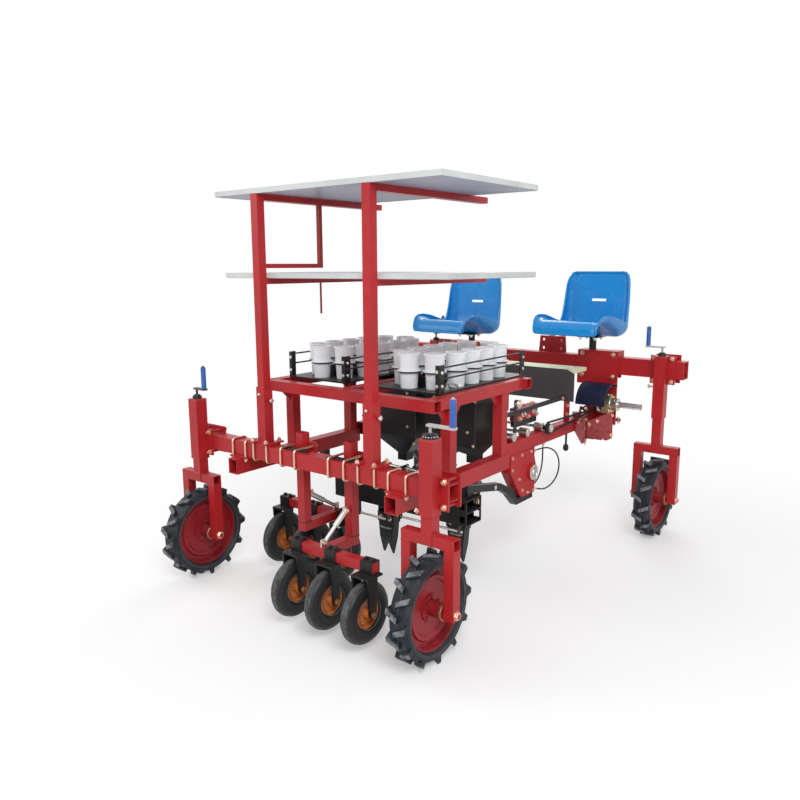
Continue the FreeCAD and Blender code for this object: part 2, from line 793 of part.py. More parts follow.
def press_fork(x, bar_at):
    """A clamp sleeve round a press bar, with the two legs and the axle of one wheel."""
    y = bar_at - press_trail
    clamp = press_bar + 2 * (seat_gap + press_clamp_wall)
    inner = press_w / 2 + turning_gap
    parts = [tube(span(x, press_clamp_w), span(bar_at, clamp), span(press_bar_z, clamp), press_clamp_wall, "x"),
             block(span(x, 2 * (inner + press_leg_t)), (y - press_leg_top / 2, bar_at + clamp / 2),
                   (crown_z - press_leg_t, crown_z))]
    for side in (-1, 1):
        leg_x = reach(x + side * inner, side * press_leg_t)
        parts.append(side_plate(leg_x, [
            (y - press_leg_top / 2, crown_z), (y + press_leg_top / 2, crown_z),
            (y + press_leg_foot / 2, press_axle_z), (y - press_leg_foot / 2, press_axle_z)]))
        parts.append(cross_rod(leg_x, y, press_axle_z, press_leg_foot))
    parts.append(cross_rod(span(x, 2 * (inner + press_leg_t + press_axle_end)), y, press_axle_z, press_axle_d))
    return fuse(parts)


def gang_strut(x, bar_at):
    """A telescopic strut from a lug on a press post down to its bar."""
    way = 1 if bar_at > post_y else -1
    lug_y = post_y + way * (press_post / 2 + seat_gap + strut_lug / 2)
    foot_z = press_bar_z + press_bar / 2 + seat_gap + strut_lug / 2
    top = V(x, lug_y, strut_top_z)
    foot = V(x, bar_at, foot_z)
    middle = top + (foot - top) * 0.5
    return fuse([rod(tuple(top), tuple(foot), strut_d), rod(tuple(top), tuple(middle), strut_sleeve_d),
                 block(span(x, strut_lug_t), span(lug_y, strut_lug), span(strut_top_z, strut_lug)),
                 block(span(x, strut_lug_t), span(bar_at, strut_lug), span(foot_z, strut_lug))])


posts = []
gang_frames = []
press_forks = []
bright_rods = []
press_wheel_places = {}
for name, post_x, gang_x, bar_at in (("front", -press_post_x, front_gang_x, rear_y + front_bar_reach),
                                     ("rear", press_post_x, rear_gang_x, rear_y - rear_bar_reach)):
    posts.append(tube(span(post_x, press_post), span(post_y, press_post),
                      (press_bar_z - press_bar / 2, press_post_top), press_post_wall, "z"))
    ahead = 1 if bar_at > post_y else -1
    arm_start = post_y + ahead * (press_post / 2 + seat_gap)
    arm = block(span(post_x, press_bar), sorted((arm_start, bar_at)), span(press_bar_z, press_bar))
    bar = block(span(gang_x, 2 * press_pitch + press_clamp_w), span(bar_at, press_bar),
                span(press_bar_z, press_bar))
    gang_frames.append(fuse([arm, bar]))
    bright_rods.append(gang_strut(post_x, bar_at))
    for number, step in enumerate((-1, 0, 1)):
        x = gang_x + step * press_pitch
        press_forks.append(press_fork(x, bar_at))
        press_wheel_places["%s_%d" % (name, number + 1)] = (x, bar_at - press_trail)
save("press_posts", posts)
save("press_gang_frames", gang_frames)
save("press_forks", press_forks)


def press_tyre(centre):
    """A plain tyre with rounded walls."""
    half = press_w / 2
    top, foot = press_d / 2, press_rim_d / 2
    wall = top - foot
    side = [(half * 0.55, foot), (half * 0.9, foot + wall * 0.18), (half, foot + wall * 0.42),
            (half * 0.97, top - wall * 0.36), (half * 0.78, top - wall * 0.15),
            (half * 0.45, top - wall * 0.03), (half * 0.15, top)]
    return turned([(-x, r) for x, r in side] + list(reversed(side)), centre)


def press_rim(centre):
    """A pressed rim with its web, its hub and its bore."""
    half = press_w / 2
    edge = press_rim_d / 2 - seat_gap
    bore = press_axle_d / 2 + running_gap
    web = press_rim_t / 2
    side = [(half * 0.55, edge), (half * 0.55, edge - press_rim_wall), (web, edge - press_rim_wall),
            (web, press_hub_d / 2), (half, press_hub_d / 2), (half, bore)]
    return turned([(-x, r) for x, r in reversed(side)] + side, centre)


for key, (x, y) in press_wheel_places.items():
    save("press_tyre_" + key, [press_tyre((x, y, press_axle_z))])
    save("press_rim_" + key, [press_rim((x, y, press_axle_z))])

# ---- cup loops ---------------------------------------------------------------
loop_y = rear_y + loop_middle
tray_top = table_top_z + seat_gap + tray_t
cup_base = tray_top + seat_gap
loop_arc = math.pi * loop_half_w
loop_length = 2 * (loop_straight_len + loop_arc)


def loop_point(travel):
    """The place on an oval loop after a travelled length, from its own middle."""
    half = loop_straight_len / 2
    travel %= loop_length
    if travel < loop_straight_len:
        return (loop_half_w, travel - half)
    travel -= loop_straight_len
    if travel < loop_arc:
        turn = travel / loop_half_w
        return (loop_half_w * math.cos(turn), half + loop_half_w * math.sin(turn))
    travel -= loop_arc
    if travel < loop_straight_len:
        return (-loop_half_w, half - travel)
    turn = (travel - loop_straight_len) / loop_half_w
    return (-loop_half_w * math.cos(turn), -half - loop_half_w * math.sin(turn))


def cup(x, y):
    """A two-tier seedling cup with a flange at its waist, open at its top."""
    lip_z = cup_h - cup_lip_h
    over = cup_waist_h + cup_flange_t
    outline = [(0, 0), (cup_foot_d / 2, 0), (cup_waist_d / 2, cup_waist_h), (cup_flange_d / 2, cup_waist_h),
               (cup_flange_d / 2, over), (cup_step_d / 2, over), (cup_top_d / 2, lip_z),
               (cup_rim_d / 2, lip_z), (cup_rim_d / 2, cup_h), (cup_top_d / 2 - cup_wall, cup_h),
               (cup_foot_d / 2 - cup_wall, cup_wall), (0, cup_wall)]
    points = [V(x + r, y, cup_base + z) for r, z in outline]
    face = Part.Face(Part.makePolygon(points + [points[0]]))
    return face.revolve(V(x, y, 0), V(0, 0, 1), 360)


def oval(x, y, half_w, z):
    """A solid oval with straight sides along Y."""
    parts = [block(span(x, 2 * half_w), span(y, loop_straight_len), z)]
    for end in (-1, 1):
        end_y = y + end * loop_straight_len / 2
        parts.append(rod((x, end_y, z[0]), (x, end_y, z[1]), 2 * half_w))
    return fuse(parts)


def loop_rail(x, way, half_l):
    """Two rods between two angle uprights along one side of a loop; way is outwards."""
    parts = []
    height = (cup_base, cup_base + loop_upright_h)
    for end in (-1, 1):
        edge = loop_y + end * half_l
        parts.append(block(reach(x, -way * loop_upright_t), reach(edge, -end * loop_upright), height))
        parts.append(block(reach(x, -way * loop_upright / 2), reach(edge, -end * loop_upright_t), height))
    rod_x = x - way * loop_upright_t / 2
    for up in (loop_rail_low, loop_rail_top):
        parts.append(rod((rod_x, loop_y - half_l + loop_rail_in, cup_base + up),
                         (rod_x, loop_y + half_l - loop_rail_in, cup_base + up), loop_rail_d))
    return fuse(parts)


trays = []
rails = []
for name, side in (("left", -1), ("right", 1)):
    cups = []
    for k in range(cups_a_loop):
        dx, dy = loop_point(loop_length * (k + 0.25) / cups_a_loop)
        cups.append(cup(side * loop_x + dx, loop_y + dy))
    save("cups_" + name, cups)
    half_w = loop_half_w + tray_margin
    half_l = loop_straight_len / 2 + half_w
    middle_x = side * loop_x
    track = oval(middle_x, loop_y, track_half_w, (tray_top, tray_top + track_h))
    inside = oval(middle_x, loop_y, track_half_w - track_wall, (tray_top, tray_top + track_h + 1))
    floor = block(span(middle_x, 2 * half_w), span(loop_y, 2 * half_l), (table_top_z + seat_gap, tray_top))
    trays.append(fuse([floor, track.cut(inside)]))
    for edge in (-1, 1):
        rails.append(loop_rail(middle_x + edge * half_w, edge, half_l))
save("cup_trays", trays)
save("cup_rails", rails)


# ---- seedling hoppers --------------------------------------------------------
def hopper(x, out_x, out_z, inset):
    """The outer or the inner form of a hopper: square sides, then a funnel to its outlet."""
    sides = span(x, hopper_w - 2 * inset)
    ends = (hopper_rear_y + inset, hopper_front_y - inset)
    mouth = span(out_x, hopper_out_w - 2 * inset)
    mouth_y = (hopper_rear_y + hopper_out_back + inset, hopper_rear_y + hopper_out_back + hopper_out_w - inset)
    low = out_z + hopper_out_h
    over = 1 if inset else 0
    return fuse([block(sides, ends, (hopper_bend_z, table_bottom - seat_gap + over)),
                 lofted(level_outline(sides, ends, hopper_bend_z), level_outline(mouth, mouth_y, low)),
                 block(mouth, mouth_y, (out_z - over, low))])


hoppers = []
for x, out_x, out_z in ((hopper_left_x, hopper_out_left_x, hopper_left_z),
                        (hopper_right_x, hopper_out_right_x, hopper_right_z)):
    hoppers.append(hopper(x, out_x, out_z, 0).cut(hopper(x, out_x, out_z, hopper_wall)))
save("seedling_chutes", hoppers)


# ---- planting units: openers on parallel cranks ------------------------------
collar_half = bill_w / 2 + collar_rim
link_inner = collar_half + seat_gap
unit_inner = link_inner + link_t + seat_gap
unit_outer = unit_inner + unit_plate_t


def jaw(x, side, tip_z):
    """One hollow jaw of a duckbill, tapered to its point and open at its top."""
    top, fork = tip_z + bill_len, tip_z + bill_fork_h
    near = x + side * bill_slit / 2

    def level(z, width, inset):
        """The jaw's section at one height."""
        far = x + side * (width / 2 - inset)
        return level_outline(reach(near + side * inset, far - near - side * inset),
                             span(bill_y, bill_t - 2 * inset), z)

    tip_x = x + side * bill_tip_apart / 2
    outer = lofted(level(top, bill_w, 0), level(fork, bill_fork_w, 0),
                   level_outline(span(tip_x, bill_tip_w), span(bill_y, bill_tip_w), tip_z))
    inner = lofted(level(top + 1, bill_w, bill_wall), level(fork + bill_wall, bill_fork_w, bill_wall))
    return outer.cut(inner)


def opener(x, tip_z, pin_zs):
    """A duckbill: two jaws under a collar, with two tall cheeks and their crank pins."""
    top = tip_z + bill_len
    collar_top = top + collar_h
    collar = block(span(x, 2 * collar_half), span(bill_y, bill_t + 2 * collar_rim), (top, collar_top))
    collar = collar.cut(block(span(x, bill_w - 2 * bill_wall), span(bill_y, bill_t - 2 * bill_wall),
                              (top - 1, collar_top + 1)))
    parts = [collar, jaw(x, -1, tip_z), jaw(x, 1, tip_z)]
    for side in (-1, 1):
        cheek_x = reach(x + side * collar_half, -side * cheek_t)
        parts.append(block(cheek_x, span(bill_y, cheek_w), (collar_top, pin_zs[0] + cheek_w / 2)))
        parts += [cross_rod(reach(x + side * (collar_half - cheek_t), side * (cheek_t + seat_gap + link_t)),
                            bill_y, z, link_pin_d) for z in pin_zs]
    return fuse(parts)


def crank_link(x, start, end, start_d, end_d):
    """A flat link with two round bored eyes, from its span, its (y, z) pins and their diameters."""
    run = V(0, end[0] - start[0], end[1] - start[1])
    across = V(1, 0, 0).cross(run).normalize() * (link_w / 2)
    a, b = V(x[0], *start), V(x[0], *end)
    corners = [tuple(a - across), tuple(b - across), tuple(b + across), tuple(a + across)]
    link = fuse([plate(corners, (x[1] - x[0], 0, 0)), cross_rod(x, *start, link_w), cross_rod(x, *end, link_w)])
    for pin, size in ((start, start_d), (end, end_d)):
        link = link.cut(cross_rod((x[0] - 1, x[1] + 1), *pin, size + 2 * seat_gap))
    return link


planter_x = (planter_left_x, planter_right_x)
planter_ends = (planter_rear_y, planter_front_y)
planter_z = (planter_low_z, planter_top_z)
web_z = span(planter_low_z + planter_h / 2, planter_web_t)
planter_parts = [tube(planter_x, planter_ends, planter_z, planter_wall, "x"),
                 block(planter_x, (planter_rear_y + planter_wall / 2, planter_front_y - planter_wall / 2), web_z),
                 block(reach(planter_left_x, planter_end_t), planter_ends, planter_z),
                 block((-beam_x - strap_w / 2, planter_left_x), span(planter_y, strap_w),
                       (planter_top_z - strap_h, planter_top_z)),
                 block(span(-beam_x, strap_w), span(planter_y, strap_w),
                       (planter_top_z - strap_h, beam_bottom - seat_gap))]
shaft_bore = crank_shaft_d + 2 * seat_gap
unit_top = crank_z + shaft_bore
unit_low = crank_z - link_drop - unit_nose
openers = []
links = []
for x, tip_z, way in ((row_left_x, left_tip_z, -1), (row_right_x, right_tip_z, 1)):
    pin_zs = (crank_z + way * crank_rise_z, crank_z - link_drop + way * crank_rise_z)
    openers.append(opener(x, tip_z, pin_zs))
    for side in (-1, 1):
        link_x = reach(x + side * link_inner, side * link_t)
        links.append(crank_link(link_x, (crank_y, crank_z), (bill_y, pin_zs[0]), crank_shaft_d, link_pin_d))
        links.append(crank_link(link_x, (crank_y, crank_z - link_drop), (bill_y, pin_zs[1]),
                                link_pin_d, link_pin_d))
        planter_parts.append(side_plate(reach(x + side * unit_inner, side * unit_plate_t), [
            (planter_front_y, planter_low_z), (crank_y, unit_low), (crank_y + unit_nose, unit_low + unit_nose),
            (crank_y + unit_nose, unit_top), (crank_y - unit_nose, unit_top), (planter_front_y, planter_top_z)]))
        planter_parts.append(cross_rod(reach(x + side * link_inner, side * (link_t + seat_gap + unit_plate_t)),
                                       crank_y, crank_z - link_drop, link_pin_d))
save("duckbills", openers)

stop_y = planter_rear_y + stop_rod_in
stop_rods = ((stop_left_start, stop_left_end, stop_rod_left_z), (stop_right_start, stop_right_end, stop_rod_right_z))
for start, end, z in stop_rods:
    for lug_x in (start + stop_lug_in, end - stop_lug_in):
        planter_parts.append(block(span(lug_x, stop_lug_t), span(stop_y, stop_lug_w),
                                   (z - stop_lug_w / 2, planter_low_z)))
    bright_rods.append(cross_rod((start, end), stop_y, z, stop_rod_d))
planter = fuse(planter_parts)
holes = [cross_rod(planter_x, crank_y, crank_z, shaft_bore)]
holes += [cross_rod((start, end), stop_y, z, stop_rod_d + 2 * seat_gap) for start, end, z in stop_rods]
for level in (-1, 1):
    window_z = span(planter_low_z + planter_h / 2 + level * planter_h / 4, planter_window)
    holes.append(block(reach(planter_right_x - planter_window_in, -planter_window),
                       (planter_rear_y - 1, planter_front_y + 1), window_z))
for hole in holes:
    planter = planter.cut(hole)
save("planter_bar", [planter])

# ---- rails, drive case and the arm that it feeds -------------------------------
rail_rear_y = beam_front_y + seat_gap
save("unit_rails", [tube(span(side * rail_x, rail_w), (rail_rear_y, saddle_rear_y - seat_gap),
                         span(rail_z, rail_h), rail_wall, "y") for side in (-1, 1)])
case_x = span(rail_x, case_w)
case_rear = beam_front_y + case_ahead
case_top = rail_bottom - seat_gap
case_foot_z = rail_bottom - case_drop
case_nose = case_rear + case_len
case_front = case_nose + case_waist - 18
gland_z = case_foot_z + gland_d * 0.75
exit_z = case_top - gland_d * 1.6
case = side_plate(case_x, [
    (case_rear, case_top), (case_nose, case_top), (case_nose, case_top - 46),
    (case_nose + case_waist, case_top - 113), (case_front, case_top - 186), (case_front, case_foot_z),
    (case_rear + case_heel + 28, case_foot_z), (case_rear + case_heel, case_foot_z + 21),
    (case_rear, case_top - 88)])
boss_y = case_rear + case_len * 0.88
boss_z = case_top - case_boss_drop
exit_y = case_nose + gland_len
foot_y = case_front + gland_len
rail_gland_y = case_nose + 165
outer_route = [
    (outer_hose_x, exit_y, exit_z), (472, exit_y + 61, exit_z + 4), (486, exit_y + 129, exit_z - 4),
    (500, exit_y + 187, exit_z - 40), (506, exit_y + 215, exit_z - 102), (504, exit_y + 201, exit_z - 168),
    (494, exit_y + 149, gland_z - 12), (478, foot_y + 66, gland_z - 27), (outer_hose_x, foot_y, gland_z)]
inner_route = [
    (inner_hose_x, rail_gland_y, rail_bottom - seat_gap - gland_len), (inner_hose_x, rail_gland_y, rail_bottom - 76),
    (inner_hose_x + 1, rail_gland_y - 5, rail_bottom - 132), (inner_hose_x + 1, rail_gland_y - 30, rail_bottom - 186),
    (inner_hose_x + 1, rail_gland_y - 79, gland_z + 6), (inner_hose_x, foot_y, gland_z)]


def gland(end, outward):
    """A gland whose face is a hose's end and whose axis is the hose's first run."""
    face = V(*end)
    back = (face - V(*outward)).normalize()
    return rod(end, tuple(face + back * (gland_len + gland_root)), gland_d)


case = fuse([case, cross_rod(reach(rail_x + case_w / 2, case_boss_out), boss_y, boss_z, case_boss_d),
             gland(outer_route[0], outer_route[1]), gland(outer_route[-1], outer_route[-2]),
             gland(inner_route[-1], inner_route[-2])])
rail_gland = rod((inner_hose_x, rail_gland_y, rail_bottom - seat_gap),
                 (inner_hose_x, rail_gland_y, rail_bottom - seat_gap - gland_len), gland_d)
rail_side = rail_x + rail_w / 2 + seat_gap
bracket_front = saddle_rear_y - rail_plate_setback
rail_bracket = side_plate((rail_side, rail_side + rail_plate_t), [
    (bracket_front - rail_plate_len, rail_top), (bracket_front, rail_top),
    (bracket_front, rail_bottom - rail_plate_drop), (bracket_front - rail_plate_len * 0.35, rail_bottom - rail_plate_drop),
    (bracket_front - rail_plate_len, rail_bottom)])
case_solids = [case, rail_gland, rail_bracket]

arm_top_rear = planter_top_z + 66
yoke_top = case_foot_z - seat_gap
arm_rear = planter_y - feed_arm_end
arm = side_plate(span(rail_x, feed_arm_w), [
    (arm_rear, arm_top_rear), (crank_y + 60, crank_z + 6), (case_rear + 58, case_top - 186),
    (case_rear + case_heel - 8, yoke_top), (case_front, yoke_top), (case_front, yoke_top - feed_arm_t),
    (case_rear + case_heel - 14, yoke_top - feed_arm_t), (case_rear + 6, yoke_top + 38),
    (crank_y + 60, crank_z - 30), (arm_rear, arm_top_rear - feed_arm_t)])
feed_lug = block(span(rail_x, feed_lug_t), span(planter_y, feed_lug_w),
                 (planter_top_z + seat_gap, arm_top_rear - feed_arm_t))
arm = fuse([arm, feed_lug])
links.append(arm.cut(cross_rod(planter_x, crank_y, crank_z, shaft_bore)))
save("planter_links", links)
bright_rods.append(cross_rod((row_left_x - unit_outer - seat_gap - link_t, planter_right_x), crank_y, crank_z,
                             crank_shaft_d))

roller_z = rail_top + seat_gap + roller_d / 2
for side in (-1, 1):
    ends = reach(side * (rail_x - roller_len / 2 + 3), side * roller_len)
    bright_rods.append(cross_rod(ends, beam_front_y + cross_rear - stub_pitch, roller_z, roller_d))
    bright_rods.append(cross_rod(ends, saddle_rear_y - rail_plate_setback - rail_plate_len / 2, roller_z,
                                 roller_d * 0.7).translated(V(0, 0, -roller_d * 0.15)))
for ahead in (cross_rear, cross_front):
    y = beam_front_y + ahead
    parts = [cross_rod((-rail_x, rail_x), y, roller_z, roller_shaft_d)]
    parts += [cross_rod(reach(side * (rail_x - roller_len / 2 + 3), side * roller_len), y, roller_z, roller_d)
              for side in (-1, 1)]
    bright_rods.append(fuse(parts))
save("bright_rods", bright_rods)


# ---- hoses -------------------------------------------------------------------
def hose(name, points):
    """A hose of straight runs and tangent arcs through its points; prints its radii."""
    route = [V(*p) for p in points]
    edges = []
    start = route[0]
    radii = []
    for before, corner, after in zip(route, route[1:], route[2:]):
        into, out = (corner - before), (after - corner)
        turn = into.getAngle(out)
        cut = 0.45 * min(into.Length, out.Length)
        radius = cut / math.tan(turn / 2)
        radii.append(round(radius, 1))
        a = corner - into.normalize() * cut
        b = corner + out.normalize() * cut
        to_chord = (a + b) * 0.5 - corner
        middle = corner + to_chord.normalize() * (radius / math.cos(turn / 2) - radius)
        edges += [Part.LineSegment(start, a), Part.Arc(a, middle, b)]
        start = b
    edges.append(Part.LineSegment(start, route[-1]))
    path = Part.Wire([edge.toShape() for edge in edges])
    first = route[1] - route[0]
    section = Part.Wire([Part.makeCircle(cable_d / 2, route[0], first)])
    solid = path.makePipeShell([section], True, False)
    volume = math.pi * cable_d ** 2 / 4 * path.Length
    print(name, "radii", radii, "length", round(path.Length, 1), "volume ratio", round(solid.Volume / volume, 5))
    save(name, [solid])


hose("hose_outer", outer_route)
hose("hose_inner", inner_route)
save("drive_case", case_solids)

# ---- shaft, bearing, guard, screen --------------------------------------------
bore_d = shaft_d + 2 * running_gap
bearing_x = (shaft_inner_x, shaft_inner_x + bearing_len)
bearing = fuse([cross_rod(bearing_x, shaft_y, shaft_z, bearing_d),
                block(bearing_x, span(shaft_y, bearing_d), (shaft_z - bearing_d / 2, shaft_z)),
                block((shaft_inner_x, shaft_inner_x + bearing_flange_t), (shaft_y, saddle_rear_y - seat_gap),
                      span(shaft_z, bearing_d))])
shaft_tool = cross_rod((shaft_inner_x - 1, bearing_x[1] + 1), shaft_y, shaft_z, bore_d + 2 * running_gap)
plate_top = shaft_z - bearing_d / 2 - seat_gap
plate_x = (bearing_x[1] - side_plate_t, bearing_x[1])
plate_rear = shaft_y - side_plate_back
plate_front = shaft_y + side_plate_front
drive_plate = side_plate(plate_x, [
    (plate_rear, plate_top), (plate_front, plate_top), (plate_front, plate_top - side_plate_h),
    (plate_front - side_plate_h / 2, plate_top - side_plate_h), (plate_rear, plate_top - side_plate_h * 0.6)])
for step in (1, 2):
    notch_y = plate_front - side_plate_h * 0.7 * step - side_notch_d / 4
    notch_z = plate_top - side_plate_h * (1.06 - 0.13 * (step - 1))
    drive_plate = drive_plate.cut(cross_rod((plate_x[0] - 1, plate_x[1] + 1), notch_y, notch_z, side_notch_d))
save("shaft_bearing", [bearing.cut(shaft_tool), drive_plate])

shaft_start = shaft_inner_x - shaft_stub
hub_x = bearing_x[1] + turning_gap
gear_x = shaft_inner_x - gear_in - gear_t
save("drive_shaft", [fuse([cross_rod((shaft_start, shaft_end_x), shaft_y, shaft_z, shaft_d),
                           cross_rod((hub_x, hub_x + shaft_hub_len), shaft_y, shaft_z, shaft_hub_d),
                           cross_rod((gear_x, gear_x + gear_t), shaft_y, shaft_z, gear_d)])])

screen = front_plate(reach(screen_y, screen_t), [
    (-screen_half, screen_low_z), (screen_half, screen_low_z), (screen_half, screen_top_z - screen_corner / 2),
    (screen_half - screen_corner, screen_top_z), (-screen_half, screen_top_z)])
web_x = (shaft_inner_x - seat_gap - guard_t, shaft_inner_x - seat_gap)
wrap = Part.makeCylinder(guard_r, guard_out_x - guard_in_x, V(guard_in_x, shaft_y, shaft_z), V(1, 0, 0), guard_turn)
hollow = Part.makeCylinder(guard_r - guard_t, guard_out_x - guard_in_x, V(guard_in_x, shaft_y, shaft_z), V(1, 0, 0),
                           guard_turn)
sheet = wrap.cut(hollow)
web = Part.makeCylinder(guard_r - guard_t / 2, guard_t, V(web_x[0], shaft_y, shaft_z), V(1, 0, 0), guard_turn)
web = web.cut(cross_rod((web_x[0] - 1, web_x[1] + 1), shaft_y, shaft_z, shaft_d + 2 * turning_gap))
guard = fuse([sheet, web])
guard.rotate(V(guard_in_x, shaft_y, shaft_z), V(1, 0, 0), guard_start - 90)
save("rear_screen", [screen, guard])
board_rear_y = screen_y + screen_t + seat_gap
save("foot_board", [block((-screen_half, screen_half), (board_rear_y, board_rear_y + board_len),
                          (screen_top_z - board_t, screen_top_z))])
save("screen_stays", [block(span(side * rail_x, stay_t), (board_rear_y, board_rear_y + stay_len),
                            (rail_top + seat_gap, screen_top_z - board_t - seat_gap)) for side in (-1, 1)])

# ---- hitch -------------------------------------------------------------------
mast_plate = front_plate((mast_y, mast_y + mast_plate_t), [
    (mast_x - mast_plate_low_w / 2, front_bar_bottom), (mast_x + mast_plate_low_w / 2, front_bar_bottom),
    (mast_x + mast_plate_top_w / 2, mast_top_z), (mast_x - mast_plate_top_w / 2, mast_top_z)])
parts = [mast_plate]
for side in (-1, 1):
    cheek_x = reach(mast_x + side * mast_gap / 2, side * mast_cheek_t)
    parts.append(side_plate(cheek_x, [
        (mast_y, front_bar_bottom), (mast_y + mast_foot, front_bar_bottom),
        (mast_y + mast_tip_front, mast_top_z), (mast_y + mast_tip_back, mast_top_z),
        (mast_y, mast_top_z - mast_tip_back)]))
mast = fuse(parts)
mast = mast.cut(cross_rod(span(mast_x, mast_gap + 4 * mast_cheek_t), mast_y + link_bore_front, link_bore_z,
                          link_bore_d))
for side in (-1, 1):
    for row in range(mast_hole_rows):
        hole_x = mast_x + side * (mast_plate_top_w / 2 - mast_hole_in)
        hole_z = mast_top_z - mast_hole_in - row * mast_hole_pitch
        mast = mast.cut(rod((hole_x, mast_y - 1, hole_z), (hole_x, mast_y + mast_plate_t + 1, hole_z), mast_hole_d))
save("hitch_mast", [mast])
brackets = []
for side in (-1, 1):
    x = mast_x + side * hitch_spread / 2
    pin_y = mast_y + hitch_pin_front
    lug = side_plate(span(x, hitch_lug_t), [
        (mast_y, front_bar_top), (mast_y + hitch_lug_len / 2, front_bar_top),
        (mast_y + hitch_lug_len, hitch_pin_z + hitch_lug_low), (mast_y + hitch_lug_len, hitch_pin_z - hitch_lug_low),
        (mast_y, hitch_pin_z - hitch_lug_low)])
    pin = cross_rod(reach(x + side * hitch_lug_t / 2, side * hitch_pin_len), pin_y, hitch_pin_z, hitch_pin_d)
    brackets.append(fuse([lug, pin]))
save("hitch_brackets", brackets)
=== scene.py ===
"""Dressed scene of a two-row vegetable transplanter that a tractor carries."""
import functools
import json
import logging
import math
from collections.abc import Callable, Sequence
from dataclasses import dataclass, field, replace
from enum import Enum

import bmesh
import bpy
from mathutils import Euler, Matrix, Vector
from mathutils.bvhtree import BVHTree


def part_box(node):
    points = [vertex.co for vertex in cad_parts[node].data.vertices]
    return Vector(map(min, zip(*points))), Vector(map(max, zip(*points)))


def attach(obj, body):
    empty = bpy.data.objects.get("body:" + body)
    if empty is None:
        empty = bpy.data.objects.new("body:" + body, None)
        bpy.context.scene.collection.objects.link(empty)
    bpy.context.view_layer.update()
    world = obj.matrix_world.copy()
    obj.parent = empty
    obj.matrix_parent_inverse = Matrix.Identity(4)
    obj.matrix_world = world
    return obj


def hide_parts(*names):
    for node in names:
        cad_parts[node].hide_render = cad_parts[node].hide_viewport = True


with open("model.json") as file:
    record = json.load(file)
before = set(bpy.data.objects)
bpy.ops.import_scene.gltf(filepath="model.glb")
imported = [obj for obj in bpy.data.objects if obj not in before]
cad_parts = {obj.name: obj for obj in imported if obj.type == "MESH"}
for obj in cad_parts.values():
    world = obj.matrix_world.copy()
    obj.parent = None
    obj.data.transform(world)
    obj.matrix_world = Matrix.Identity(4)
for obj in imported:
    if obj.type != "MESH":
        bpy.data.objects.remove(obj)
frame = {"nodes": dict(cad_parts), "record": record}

log = logging.getLogger("transplanter")
Colour = tuple[float, float, float]
Point = tuple[float, float, float]
Pair = tuple[float, float]
Profile = Sequence[Pair]

ACROSS = Vector((1.0, 0.0, 0.0))
AHEAD = Vector((0.0, 1.0, 0.0))
UP = Vector((0.0, 0.0, 1.0))
CORNERS = ("rear_left", "rear_right", "front_left", "front_right")


# ---- shader expressions
class Value:
    """A shader socket that takes part in Python expressions."""

    def __init__(self, shader: "Nodes", socket: bpy.types.NodeSocket) -> None:
        """Keeps the socket and the node tree that it belongs to."""
        self.shader = shader
        self.socket = socket

    def _with(self, operation: str, first: "Value | float", second: "Value | float") -> "Value":
        """Adds one Math node on two operands."""
        return self.shader.node("ShaderNodeMath", {"operation": operation}, {0: first, 1: second})

    def __add__(self, other: "Value | float") -> "Value":
        """Sum."""
        return self._with("ADD", self, other)

    def __radd__(self, other: float) -> "Value":
        """Sum with a number on the left."""
        return self._with("ADD", other, self)

    def __sub__(self, other: "Value | float") -> "Value":
        """Difference."""
        return self._with("SUBTRACT", self, other)

    def __rsub__(self, other: float) -> "Value":
        """Difference from a number on the left."""
        return self._with("SUBTRACT", other, self)

    def __mul__(self, other: "Value | float") -> "Value":
        """Product."""
        return self._with("MULTIPLY", self, other)

    def __rmul__(self, other: float) -> "Value":
        """Product with a number on the left."""
        return self._with("MULTIPLY", other, self)

    def __truediv__(self, other: "Value | float") -> "Value":
        """Quotient."""
        return self._with("DIVIDE", self, other)

    def __pow__(self, other: "Value | float") -> "Value":
        """Power."""
        return self._with("POWER", self, other)

    def above(self, limit: "Value | float") -> "Value":
        """1 where the value is over the limit, else 0."""
        return self._with("GREATER_THAN", self, limit)

    def larger(self, other: "Value | float") -> "Value":
        """The larger of two values."""
        return self._with("MAXIMUM", self, other)

    def smaller(self, other: "Value | float") -> "Value":
        """The smaller of two values."""
        return self._with("MINIMUM", self, other)

    def rise(self, low: float, high: float) -> "Value":
        """Rises from 0 at low to 1 at high, and is clamped.

        Args:
            low: the value at which the result is 0.
            high: the value at which the result is 1.

        Returns:
            The clamped ramp.
        """
        return self.shader.node("ShaderNodeMapRange", {"clamp": True},
                                {0: self, 1: low, 2: high, 3: 0.0, 4: 1.0})


class Nodes:
    """A node tree of a material or of the world."""

    def __init__(self, tree: bpy.types.NodeTree) -> None:
        """Keeps the tree."""
        self.tree = tree

    def feed(self, socket: bpy.types.NodeSocket, given: "Value | float | tuple") -> None:
        """Links a value to a socket, or sets the socket's own number or colour.

        Args:
            socket: the input.
            given: what goes into it.
        """
        if isinstance(given, Value):
            self.tree.links.new(given.socket, socket)
        elif isinstance(given, tuple) and socket.type == "RGBA":
            socket.default_value = (*given[:3], 1.0)
        else:
            socket.default_value = given

    def node(self, kind: str, settings: dict | None = None, inputs: dict | None = None,
             output: int | str = 0) -> Value:
        """Adds one node.

        Args:
            kind: the node's type name.
            settings: its properties, set before its sockets; "stops" holds a ramp's stops.
            inputs: the values or links of its sockets, by name or number.
            output: the output that is wanted.

        Returns:
            The wanted output.
        """
        node = self.tree.nodes.new(kind)
        for key, setting in (settings or {}).items():
            if key == "stops":
                ramp = node.color_ramp.elements
                while len(ramp) < len(setting):
                    ramp.new(1.0)
                for stop, (place, colour) in zip(ramp, setting):
                    stop.position, stop.color = place, (*colour, 1.0)
            else:
                setattr(node, key, setting)
        for key, given in (inputs or {}).items():
            self.feed(node.inputs[key], given)
        return Value(self, node.outputs[output])


